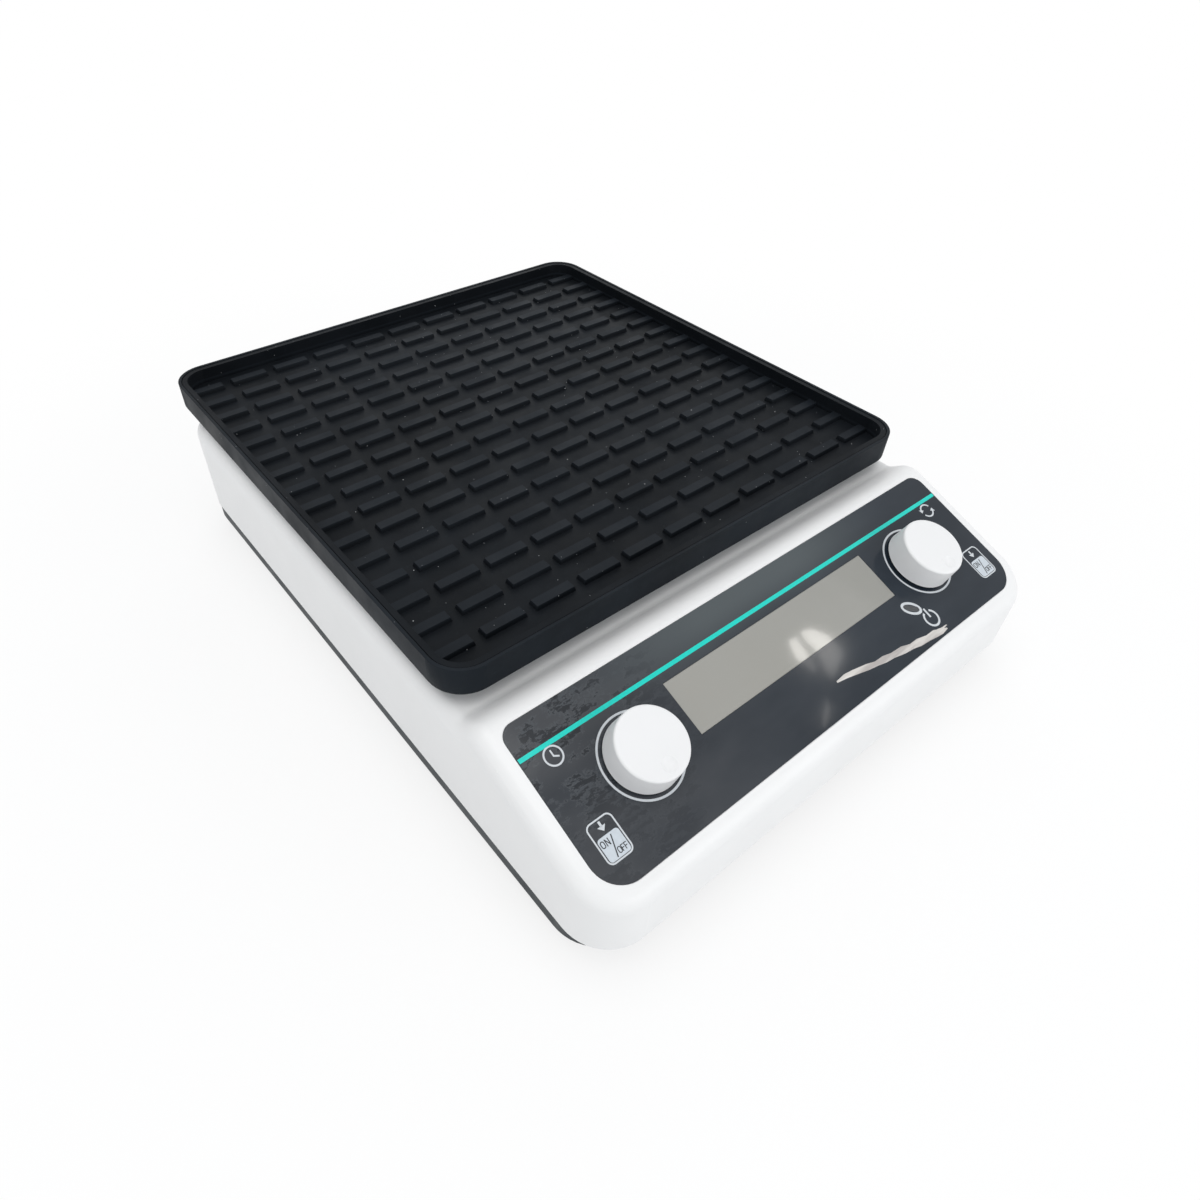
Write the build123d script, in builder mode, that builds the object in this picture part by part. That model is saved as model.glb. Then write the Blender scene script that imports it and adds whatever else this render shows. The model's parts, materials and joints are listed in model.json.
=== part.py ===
from build123d import *

import os
from math import cos, pi, radians, sin, tan

# Bench-top orbital shaker: a low casing with a sloping console in front and a square, rimmed
# platform that runs round a small horizontal circle above the casing's flat deck.
# Millimetres. +Z up, +Y to the back, +X to the right of a person who faces the console.
# The origin lies on the table, midway along the overall length.

# ---------------------------------------------------------------- platform and its rubber mat
TRAY_SIZE = 230.0            # square platform, outside
TRAY_HEIGHT = 12.0
TRAY_CORNER = 13.5           # plan radius of the platform's corners
TRAY_WALL = 1.3
TRAY_FLOOR = 2.0
TRAY_EDGE = 1.6              # rounding of the lower edge
MAT_FLOOR = 3.0
MAT_LIP = 2.2                # width of the mat's raised border
MAT_SEAM = 0.3               # gap between the mat's border and the platform's wall
MAT_DROP = 0.3               # the mat's border stands this much below the platform's rim
RIB_LENGTH = 17.0
RIB_WIDTH = 4.8
RIB_HEIGHT = 1.8
RIB_TAPER = 14.0             # draft of the rib's flanks, degrees
RIB_COLUMNS = 11
RIB_ROWS = 16
RIB_END = 0.25               # the outer columns stop this much inside the mat's edge
RIB_END_ROOM = 20.95         # floor length left over by the rows' pitches
RIB_SHIFT = 2.0              # the rows sit slightly towards the back

# ---------------------------------------------------------------- casing
CASING_SIDE = 1.0            # the casing is this much wider than the platform on each side
CASING_BACK = 6.0            # the platform overhangs the rear wall by this much
CASING_CORNER = 17.7         # plan radius of the casing's corners
CASING_EDGE = 6.0            # rounding along the top of the walls
CASING_WALL = 2.5
CONSOLE_LENGTH = 74.0        # from the front wall to the platform's rim
CONSOLE_FRONT = 25.2         # front wall up to the slope's plane
CONSOLE_TILT = 20.2          # slope, degrees
CREST_DEPTH = 64.5           # from the front wall to the crest's sharp line
CREST_ROUND = 9.0
VALLEY_TILT = 35.0           # fall from the crest to the deck, degrees
VALLEY_ROUND = 5.0
DECK_RISE = 43.0             # from the seam to the deck
TRAY_GAP = 5.0               # from the deck to the underside of the platform
WELL_GAP = 1.5               # room round each moving boss in its deck well
COLLAR_WIDTH = 2.0
COLLAR_HEIGHT = 1.2          # splash collar round each deck well
SCREW_BOSS = 4.0             # radius of the posts that take the casing screws
SCREW_BOSS_INSET = 10.0      # from the casing's side to the posts' axes
SCREW_BOSS_BORE = 14.0
SCREW_BOSS_FRONT = 52.0      # front posts behind the front wall
SCREW_BOSS_BACK = 24.0       # rear posts before the rear wall
SCREW_BOSS_MIDDLE = 28.0     # middle posts behind the casing's middle
WEB_THICKNESS = 2.0

# ---------------------------------------------------------------- base pan and feet
PAN_HEIGHT = 8.5
PAN_WALL = 2.5
PAN_FLOOR = 2.5
PAN_INSET = 0.5              # behind the casing's skin at the sides and the back
PAN_FRONT_INSET = 5.0
PAN_EDGE = 1.5
BAND_HEIGHT = 2.0            # full-width band under the seam
LIP_RISE = 2.5               # tongue that stands up inside the casing
LIP_THICKNESS = 1.6
LIP_CLEARANCE = 0.2
PAN_POST_EXTRA = 0.8         # the pan's screw posts are this much stouter than the casing's
CASING_SCREW_RECESS = 4.0
CASING_SCREW_REACH = 16.0
HEAD_ROOM = 0.5              # round recessed screw heads
FOOT_HEIGHT = 5.5
FOOT_RADIUS = 9.0
FOOT_INSET = 28.0
FOOT_BOSS_HEIGHT = 6.0
FOOT_DRAFT = 12.0            # degrees
FOOT_SOLE = 2.5              # rubber between the screw's head and the pan
FOOT_HEAD_ROOM = 0.6
FOOT_SCREW_REACH = 8.5
VENT_LENGTH = 26.0
VENT_WIDTH = 3.0
VENT_PITCH = 8.0
VENT_COUNT = 7

# ---------------------------------------------------------------- console panel
FILM_SIDE = 7.5              # casing left beside the film
FILM_LENGTH = 57.8           # along the slope
FILM_FRONT = 6.0             # from the front wall to the film's lower edge, along the slope
FILM_TOP_ROUND = 5.0
FILM_BOTTOM_ROUND = 11.0
FILM_THICKNESS = 0.5
FILM_CLEARANCE = 0.15
KNOB_INSET = 34.5            # from the film's side to the knobs' axes
KNOB_SET_BACK = 28.15        # from the film's lower edge to the knobs' axes
WINDOW_SIDE = 21.55          # from the knobs' axes to the window
WINDOW_LENGTH = 20.2
WINDOW_SET_BACK = 32.4       # from the film's lower edge to the window's centre
WINDOW_THICKNESS = 2.3
WINDOW_RECESS = 0.1
LAMP_OFFSET = 20.0           # from the right knob's axis towards the middle
LAMP_SET_BACK = 15.0
LAMP_LENGTH = 6.6            # the lamp is a slanted oval
LAMP_WIDTH = 2.4
LAMP_TURN = -38.0
LAMP_PROUD = 0.3
NUT_CLEARANCE = 0.5          # round the encoder nuts, through the film

# ---------------------------------------------------------------- knobs and their encoders
KNOB_RADIUS = 12.9           # at the foot of the knob
KNOB_TOP_RADIUS = 12.2
KNOB_TOP = 10.8              # top face above the film
KNOB_LIFT = 1.2              # foot of the knob above the film
KNOB_SKIN = 2.0
KNOB_ROUND = 0.9
KNOB_HUB = 5.0
DIMPLE_RADIUS = 2.6
DIMPLE_DEPTH = 0.7
DIMPLE_OFFSET = 8.0
PUSH_TRAVEL = 0.5
SHAFT_RADIUS = 2.98
SHAFT_TOP = 8.2
SHAFT_FLAT = 1.5             # from the shaft's axis to its flat
ENCODER_SIZE = 12.4
ENCODER_HEIGHT = 6.5
BUSH_RADIUS = 3.5
BUSH_TOP = 1.9
NUT_ACROSS = 10.0
NUT_THICKNESS = 1.9
PLUNGER_HEIGHT = 1.4
ENCODER_FLOOR = 0.5
ENCODER_EDGE = 0.8
PLUNGER_EDGE = 0.4
KNOB_HUB_GAP = 0.3           # left between hub and bush when the knob is pressed

# ---------------------------------------------------------------- electronics
BOARD_SIDE = 10.5            # the control board is this much narrower than the film at each end
BOARD_LENGTH = 40.0
BOARD_POST = 3.0
BOARD_POST_INSET = 6.0
BOARD_POST_ROWS = (14.0, -14.0)
BOARD_POST_MIDDLE = (0.0, -15.5)
BOARD_THICKNESS = 1.6
LCD_MARGIN = 3.6             # frame of the display module round the window
LCD_HEIGHT = 5.8
LCD_CORNER = 1.0
LCD_STEP = 0.4               # the glass sits this much below the module's frame
CONTROLLER_SIZE = 12.0       # square chip
CONTROLLER_PLACE = (-30.0, 4.0)
DRIVER_SIZE = (7.0, 5.0)
DRIVER_SPACING = 22.0
CHIP_HEIGHT = 1.4
HEADER_SIZE = (14.0, 5.6, 6.5)
HEADER_PLACES = ((-62.0, 8.0), (-62.0, -8.0), (72.0, 0.0))
BOARD_CORNER = 2.0
BOARD_SCREW_RADIUS = 1.1
BOARD_SCREW_HEAD = 2.3
BOARD_SCREW_BITE = 3.5       # thread inside the console's posts
BUZZER_RADIUS = 6.0
BUZZER_HEIGHT = 9.0
BUZZER_X = 40.0
BUZZER_PORT_RADIUS = 1.2
BUZZER_PORT_DEPTH = 2.0
POWER_BOARD_WIDTH = 120.0
POWER_BOARD_LENGTH = 40.0
POWER_BOARD_SIDE = 80.0      # from the casing's left side to the board's centre
POWER_BOARD_GAP = 1.5        # between the board and the drive plate, seen from above
POWER_BOARD_RISE = 6.0
POWER_POST = 3.0
POWER_POST_INSET = 4.5
TRANSFORMER_SIZE = (28.0, 26.0, 20.0)
TRANSFORMER_X = -20.0        # from the power board's centre
CAPACITOR_RADIUS = 6.2
CAPACITOR_HEIGHT = 18.0
CAPACITOR_X = (12.0, 27.0)   # from the power board's centre
CAPACITOR_Y = -4.0
CAPACITOR_EDGE = 0.8
TRANSFORMER_Y = -2.0
TRANSFORMER_EDGE = 1.5
WINDING_DEPTH = 2.0          # the winding is set back between the legs of the core
WINDING_LENGTH = 15.6
WINDING_HEIGHT = 12.0
WINDING_RISE = 4.0
COOLER_X = 44.0
COOLER_SPINE = (3.0, 24.0)
COOLER_FIN = (9.0, 1.4)
COOLER_FINS = 5
COOLER_PITCH = 5.0
COOLER_HEIGHT = 16.0
TERMINAL_X = -48.0
TERMINAL_SIZE = (8.0, 20.0)
FUSE_PLACE = (2.0, 15.0)
FUSE_SIZE = (20.0, 6.0)
TERMINAL_HEIGHT = 9.0
POWER_SCREW_BITE = 5.0

# ---------------------------------------------------------------- rear wall fittings
FITTING_RISE = 19.0          # from the seam to the centre of both fittings
INLET_SIDE = 54.0            # from the casing's left side to the inlet's centre
INLET_FLANGE = (50.0, 24.0, 2.0)
INLET_BODY = (27.4, 19.8)
INLET_DEPTH = 20.0
INLET_SOCKET = (24.0, 16.2, 15.5)
INLET_CHAMFER = 4.0
INLET_PIN = (2.0, 4.0, 11.0)
INLET_PIN_PITCH = 7.0
INLET_SCREW_PITCH = 40.0
INLET_SCREW_BITE = 2.0
INLET_CORNER = 4.0
INLET_EARTH_RISE = 1.5       # the middle blade stands above the socket's centre
INLET_LINE_DROP = 1.0        # the outer two stand below it
INLET_TAIL = 7.0             # soldering tags behind the body
INLET_PIN_EDGE = 0.5
SWITCH_SPACING = 46.0        # from the inlet's centre
SWITCH_BEZEL = (22.0, 16.0, 1.6)
SWITCH_BODY = (19.2, 12.8)
SWITCH_DEPTH = 18.0
SWITCH_WELL = (17.4, 9.6, 9.0)
SWITCH_CORNER = 1.0
SWITCH_EDGE = 0.5
ROCKER_LENGTH = 16.0
ROCKER_WIDTH = 8.8
ROCKER_TILT = 9.0            # either side of level, degrees
ROCKER_SET_IN = 1.0          # pivot inside the casing's skin
ROCKER_HORN = 3.6            # ends of the rocker outside its pivot
ROCKER_WAIST = 2.4
ROCKER_KEEL = 4.0
ROCKER_KEEL_LENGTH = 11.0
PANEL_CUT_CLEARANCE = 0.2

# ---------------------------------------------------------------- drive
ORBIT_RADIUS = 5.0
PLATE_SIDE = 30.0            # the plate ends this far inside the platform's sides
PLATE_END = 31.0             # and this far inside its front and back
PLATE_SHIFT = 2.5            # the plate's middle lies before the crank axis
PLATE_THICKNESS = 2.5
PLATE_RISE = 16.0            # from the pan's floor to the plate
PLATE_POST = 5.0
PLATE_POST_BORE = 10.0
PLATE_POST_DRAFT = 1.0       # degrees
PLATE_POST_INSET = 6.0
PLATE_CORNER = 8.0
PLATE_WINDOW = (14.0, 56.0)
PLATE_WINDOW_CORNER = 5.0
PLATE_WINDOW_OFFSET = 39.0   # from the crank axis
PLATE_SCREW_BITE = 7.0
BOLT_STAND_OUT = 1.0         # bolts below the plate
JOURNAL_RADIUS = 4.0         # crank shaft and its pin
BEARING_RADIUS = 11.0
BEARING_WIDTH = 7.0
HOUSING_RADIUS = 15.5
HOUSING_HEIGHT = 16.5
HOUSING_FLANGE = 27.0
HOUSING_FLANGE_THICKNESS = 4.0
HOUSING_SHOULDER = 1.5       # step that each main bearing seats against
HOUSING_BOLT_CIRCLE = 21.0
CRANK_DISC_RADIUS = 15.0
CRANK_DISC_THICKNESS = 4.2
CRANK_LIFT = 0.8             # crank disc above the bearing housing
COUNTERWEIGHT_RADIUS = 27.0
COUNTERWEIGHT_THICKNESS = 3.4
COUNTERWEIGHT_BORE = 8.5
COUNTERWEIGHT_SETBACK = 1.0  # its straight edge behind the crank axis
COUNTERWEIGHT_BOLT_CIRCLE = 12.4
DISC_FLOOR = 1.0             # left under the counterweight's screws in the disc
CRANK_COLLAR = 1.5           # collar that spaces the disc off its bearing
IDLER_COLLAR = 1.2
PIN_EDGE = 0.5
HUB_RADIUS = 15.0
HUB_DROP = 6.5               # hub body below its flange
HUB_FLANGE = 25.0
FLANGE_THICKNESS = 3.0       # flanges under the platform
HUB_BOLT_CIRCLE = 20.5
PIN_HEADROOM = 0.9           # above each pin's end
PIN_WELL_ROOF = 0.8          # left of each flange above its pin
HUB_PIN_ROOM = 2.0           # round the crank pin inside the hub
BOSS_PIN_ROOM = 1.5          # round each idler pin inside its boss
PULLEY_RADIUS = 28.0
PULLEY_WIDTH = 8.0
PULLEY_FLANGE = 1.0          # thickness of the guide flanges
PULLEY_FLANGE_RISE = 1.5
PULLEY_HUB = 9.0
PULLEY_WEB = 3.0
PULLEY_RIM = 3.5
PULLEY_FLOOR_GAP = 3.0       # pan floor to the lower guide flange
SHAFT_STAND_OUT = 1.0        # of both shafts below their pulleys
PULLEY_WINDOWS = 5
PULLEY_WINDOW_RIM = 2.0      # web left round each window
MOTOR_PULLEY_RADIUS = 8.0
MOTOR_DISTANCE = 52.0        # between the two pulleys' axes
MOTOR_RADIUS = 21.0
MOTOR_HEIGHT = 24.5
MOTOR_NOSE = 6.0
MOTOR_SHAFT = 2.5
MOTOR_BOLT_CIRCLE = 15.5
MOTOR_BOLT_DEPTH = 5.0
MOTOR_BOLT_BITE = 4.5
MOTOR_EDGE = 1.5
MOTOR_JOINT_RISE = 7.35      # groove between the magnet can and the winding base
MOTOR_JOINT = 1.0            # width and depth of that groove
MOTOR_BORE = 19.6            # depth of the shaft's bore
MOTOR_SHAFT_REACH = 18.375   # of the shaft inside the motor
BELT_THICKNESS = 1.2
IDLER_SIDE = 53.0            # from the platform's sides to the idlers' axes
IDLER_END = 55.0             # from the platform's front and back to them
IDLER_JOURNAL = 3.0
IDLER_BEARING_RADIUS = 9.5
IDLER_BEARING_WIDTH = 6.0
IDLER_BLOCK_RADIUS = 12.0
IDLER_BLOCK_HEIGHT = 15.0
IDLER_BLOCK_FLANGE = (46.0, 24.0, 3.5)
IDLER_BLOCK_CORNER = 8.0
IDLER_SHAFT_END = 1.0        # of each lower journal below the plate
IDLER_BOLT_SPACING = 33.0
IDLER_DISC_RADIUS = 9.5
IDLER_DISC_THICKNESS = 4.7
IDLER_TOP_BEARING_RADIUS = 6.5
IDLER_TOP_BEARING_WIDTH = 5.0
IDLER_BOSS_RADIUS = 9.5
IDLER_BOSS_DROP = 6.0
IDLER_BOSS_FLANGE = (37.0, 20.0)
IDLER_BOSS_BOLTS = 28.0
IDLER_BOSS_CORNER = 7.0
IDLER_FREE_PLAY = 0.12       # round the upper idler pins

# ---------------------------------------------------------------- screws and fits
SCREW_RADIUS = 1.5
SCREW_HEAD_RADIUS = 2.8
SCREW_HEAD_HEIGHT = 1.8
COUNTERSINK = 90.0           # degrees
SCREW_CLEARANCE = 0.1
SCREW_END_ROOM = 0.4         # the platform's screws end this much inside the flanges
SEAT = 0.02                  # fixed round seats
RUNNING = 0.06               # journals and shafts that turn
BELT_CLEARANCE = 0.08
OVERLAP = 1.0                # by which fused forms and cutters run into each other
SHIELD_OUTER = 0.2           # bearing shields: share of the ring left outside,
SHIELD_INNER = 0.25          # inside,
SHIELD_DEPTH = 0.06          # and share of the width they are set back by

# ---------------------------------------------------------------- sizes that follow from the platform's
CASING_WIDTH = TRAY_SIZE + 2 * CASING_SIDE
CASING_LENGTH = CONSOLE_LENGTH + TRAY_SIZE - CASING_BACK
MAT_SIZE = TRAY_SIZE - 2 * TRAY_WALL - 2 * MAT_SEAM
MAT_INSIDE = MAT_SIZE - 2 * MAT_LIP
RIB_PITCH_X = (MAT_SIZE - 2 * RIB_END - RIB_LENGTH) / (RIB_COLUMNS - 1)
RIB_PITCH_Y = (MAT_INSIDE - RIB_END_ROOM) / (RIB_ROWS - 1)
FILM_WIDTH = CASING_WIDTH - 2 * FILM_SIDE
KNOB_X = FILM_WIDTH / 2 - KNOB_INSET
WINDOW_WIDTH = 2 * (KNOB_X - WINDOW_SIDE)
LAMP_X = KNOB_X - LAMP_OFFSET
BOARD_WIDTH = FILM_WIDTH - 2 * BOARD_SIDE
BOARD_POST_X = BOARD_WIDTH / 2 - BOARD_POST_INSET
BOARD_POSTS = [(x, v) for v in BOARD_POST_ROWS for x in (-BOARD_POST_X, BOARD_POST_X)] + [BOARD_POST_MIDDLE]
PLATE_WIDTH = TRAY_SIZE - 2 * PLATE_SIDE
PLATE_LENGTH = TRAY_SIZE - 2 * PLATE_END
IDLER_X = TRAY_SIZE / 2 - IDLER_SIDE
IDLER_Y = TRAY_SIZE / 2 - IDLER_END
INLET_X = INLET_SIDE - CASING_WIDTH / 2
SWITCH_X = INLET_X + SWITCH_SPACING
POWER_BOARD_X = POWER_BOARD_SIDE - CASING_WIDTH / 2

# ---------------------------------------------------------------- levels and places worked out
Z_PAN = FOOT_HEIGHT
Z_FLOOR = Z_PAN + PAN_FLOOR
Z_SEAM = Z_PAN + PAN_HEIGHT
Z_DECK = Z_SEAM + DECK_RISE
Z_TRAY = Z_DECK + TRAY_GAP
Z_RIM = Z_TRAY + TRAY_HEIGHT
Z_PLATE = Z_FLOOR + PLATE_RISE
Z_PLATE_TOP = Z_PLATE + PLATE_THICKNESS
Z_CRANK = Z_PLATE_TOP + HOUSING_HEIGHT + CRANK_LIFT
Z_CRANK_TOP = Z_CRANK + CRANK_DISC_THICKNESS
Z_IDLER = Z_PLATE_TOP + IDLER_BLOCK_HEIGHT + CRANK_LIFT
Z_IDLER_TOP = Z_IDLER + IDLER_DISC_THICKNESS
Z_FLANGE = Z_TRAY - FLANGE_THICKNESS
Z_BELT = Z_FLOOR + PULLEY_FLOOR_GAP + PULLEY_FLANGE
Z_SHAFT_END = Z_BELT - PULLEY_FLANGE - SHAFT_STAND_OUT
Z_FITTING = Z_SEAM + FITTING_RISE

Y_FRONT = -(CONSOLE_LENGTH + TRAY_SIZE) / 2
Y_BACK = Y_FRONT + CASING_LENGTH
Y_TRAY = Y_FRONT + CONSOLE_LENGTH + TRAY_SIZE / 2
Y_CRANK = Y_TRAY + ORBIT_RADIUS
Y_MOTOR = Y_CRANK - MOTOR_DISTANCE
Y_PLATE = Y_CRANK - PLATE_SHIFT
POWER_BOARD_Y = Y_PLATE - PLATE_LENGTH / 2 - POWER_BOARD_GAP - POWER_BOARD_LENGTH / 2

TILT = radians(CONSOLE_TILT)
Z_CONSOLE = Z_SEAM + CONSOLE_FRONT
CREST = (Y_FRONT + CREST_DEPTH, Z_CONSOLE + CREST_DEPTH * tan(TILT))
VALLEY = (CREST[0] + (CREST[1] - Z_DECK) / tan(radians(VALLEY_TILT)), Z_DECK)

# The console's panel plane: local x to the right, local y up the slope, its origin at the film's centre.
FILM_CENTRE = FILM_FRONT + FILM_LENGTH / 2
PANEL = Plane(
    origin=(0, Y_FRONT + FILM_CENTRE * cos(TILT), Z_CONSOLE + FILM_CENTRE * sin(TILT)),
    x_dir=(1, 0, 0),
    z_dir=(0, -sin(TILT), cos(TILT)),
)
KNOB_V = KNOB_SET_BACK - FILM_LENGTH / 2
WINDOW_V = WINDOW_SET_BACK - FILM_LENGTH / 2
LAMP_V = LAMP_SET_BACK - FILM_LENGTH / 2
BOARD_DEPTH = CASING_WALL + ENCODER_HEIGHT

IDLER_PLACES = [(x, Y_CRANK + y) for x in (-IDLER_X, IDLER_X) for y in (-IDLER_Y, IDLER_Y)]
IDLER_PIN_PLACES = [(x, y - ORBIT_RADIUS) for x, y in IDLER_PLACES]
FOOT_PLACES = [
    (x, y)
    for x in (FOOT_INSET - CASING_WIDTH / 2, CASING_WIDTH / 2 - FOOT_INSET)
    for y in (Y_FRONT + FOOT_INSET, Y_BACK - FOOT_INSET)
]
CASING_SCREW_ROWS = (
    Y_FRONT + SCREW_BOSS_FRONT,
    (Y_FRONT + Y_BACK) / 2 + SCREW_BOSS_MIDDLE,
    Y_BACK - SCREW_BOSS_BACK,
)
CASING_SCREW_PLACES = [
    (x, y)
    for x in (SCREW_BOSS_INSET - CASING_WIDTH / 2, CASING_WIDTH / 2 - SCREW_BOSS_INSET)
    for y in CASING_SCREW_ROWS
]
PLATE_SCREW_PLACES = [
    (x, Y_PLATE + y)
    for x in (PLATE_POST_INSET - PLATE_WIDTH / 2, PLATE_WIDTH / 2 - PLATE_POST_INSET)
    for y in (PLATE_POST_INSET - PLATE_LENGTH / 2, PLATE_LENGTH / 2 - PLATE_POST_INSET)
]
POWER_SCREW_PLACES = [
    (POWER_BOARD_X + x, POWER_BOARD_Y + y)
    for x in (POWER_POST_INSET - POWER_BOARD_WIDTH / 2, POWER_BOARD_WIDTH / 2 - POWER_POST_INSET)
    for y in (POWER_POST_INSET - POWER_BOARD_LENGTH / 2, POWER_BOARD_LENGTH / 2 - POWER_POST_INSET)
]

os.makedirs("parts", exist_ok=True)


def save(piece, label):
    """Name a finished piece and write it."""
    piece.label = label
    export_step(piece, f"parts/{label}.step")


def ring_places(centre, radius, count, start=0.0):
    """Points spaced evenly round a centre, the first one at the start angle in degrees."""
    angles = [radians(start) + 2 * pi * step / count for step in range(count)]
    return [(centre[0] + radius * cos(angle), centre[1] + radius * sin(angle)) for angle in angles]


def panel_place(x, v, n=0.0):
    """A plane parallel to the console's panel at (x, v), raised by n."""
    return Plane(PANEL.location * Location((x, v, n)))


def roof(y):
    """Height of the casing's outer skin above the table, along its middle."""
    if y < CREST[0]:
        return Z_CONSOLE + (y - Y_FRONT) * tan(TILT)
    return Z_DECK


def plan(side, front, back, corner):
    """Sketch the casing's plan outline, drawn in at the sides, the front and the back."""
    length = CASING_LENGTH - front - back
    with Locations((0, Y_FRONT + front + length / 2)):
        RectangleRounded(CASING_WIDTH - 2 * side, length, corner)


def screws(
    places, seat, reach, upward, plane=Plane.XY, head_radius=SCREW_HEAD_RADIUS, shank_radius=SCREW_RADIUS
):
    """Pan-head screws whose heads bear on the level `seat` and whose shanks run `reach` beyond it."""
    way = 1 if upward else -1
    along = Axis(plane.origin, plane.z_dir)
    with BuildPart() as group:
        with BuildSketch(plane.offset(seat)):
            with Locations(*places):
                Circle(head_radius)
        extrude(amount=-way * SCREW_HEAD_HEIGHT)
        chamfer(group.edges().group_by(along)[0 if upward else -1], SCREW_HEAD_HEIGHT / 3)
        with BuildSketch(plane.offset(seat)):
            with Locations(*places):
                Circle(shank_radius)
        extrude(amount=way * reach)
    return group.part


def countersunk_screws(places, top, reach):
    """Countersunk screws whose heads lie flush with the level `top`."""
    with BuildPart() as group:
        with BuildSketch(Plane.XY.offset(top)):
            with Locations(*places):
                Circle(SCREW_HEAD_RADIUS)
        extrude(amount=-(SCREW_HEAD_RADIUS - SCREW_RADIUS), taper=COUNTERSINK / 2)
        with BuildSketch(Plane.XY.offset(top)):
            with Locations(*places):
                Circle(SCREW_RADIUS)
        extrude(amount=-reach)
    return group.part


def bearing(places, base, outer, inner, width):
    """Shielded ball bearings standing on the level `base`."""
    with BuildPart() as group:
        with BuildSketch(Plane.XY.offset(base)):
            with Locations(*places):
                Circle(outer)
                Circle(inner, mode=Mode.SUBTRACT)
        extrude(amount=width)
        for level, way in ((base, 1), (base + width, -1)):
            with BuildSketch(Plane.XY.offset(level)):
                with Locations(*places):
                    Circle(outer - (outer - inner) * SHIELD_OUTER)
                    Circle(inner + (outer - inner) * SHIELD_INNER, mode=Mode.SUBTRACT)
            extrude(amount=way * width * SHIELD_DEPTH, mode=Mode.SUBTRACT)
    return group.part


# ================================================================ casing
def casing_form(inset, base):
    """The casing's rounded body, drawn `inset` inside its skin and cut off level at `base`."""
    with BuildPart() as form:
        with BuildSketch(Plane.YZ):
            with BuildLine():
                Line((Y_FRONT, base - inset), (Y_FRONT, Z_CONSOLE))
                FilletPolyline(
                    (Y_FRONT, Z_CONSOLE), CREST, VALLEY, (Y_BACK, Z_DECK), radius=[CREST_ROUND, VALLEY_ROUND]
                )
                Line((Y_BACK, Z_DECK), (Y_BACK, base - inset))
                Line((Y_BACK, base - inset), (Y_FRONT, base - inset))
            make_face()
            if inset:
                offset(amount=-inset)
        extrude(amount=CASING_WIDTH / 2, both=True)
        with BuildSketch(Plane.XY.offset(base)):
            plan(inset, inset, inset, CASING_CORNER - inset)
        extrude(amount=Z_RIM, mode=Mode.INTERSECT)
        walls = form.faces().filter_by(lambda face: abs(face.normal_at().Z) < 0.01)
        roofs = form.faces().filter_by(lambda face: face.normal_at().Z > 0.3)
        fillet([edge for edge in roofs.edges() if edge in walls.edges()], CASING_EDGE - inset)
    return form.part


HUB_WELL = HUB_RADIUS + ORBIT_RADIUS + WELL_GAP
IDLER_WELL = IDLER_BOSS_RADIUS + ORBIT_RADIUS + WELL_GAP


def lamp_outline(grow, mode=Mode.ADD):
    """Sketch the lamp's slanted oval on the panel."""
    with Locations((LAMP_X, LAMP_V)):
        SlotOverall(LAMP_LENGTH + 2 * grow, LAMP_WIDTH + 2 * grow, rotation=LAMP_TURN, mode=mode)


def film_outline(grow):
    """Sketch the film's outline on the panel: small corner radii above, large ones below."""
    outline = Rectangle(FILM_WIDTH + 2 * grow, FILM_LENGTH + 2 * grow)
    outline = fillet(outline.vertices().group_by(Axis.Y)[-1], FILM_TOP_ROUND + grow)
    fillet(outline.vertices().group_by(Axis.Y)[0], FILM_BOTTOM_ROUND + grow)


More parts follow.
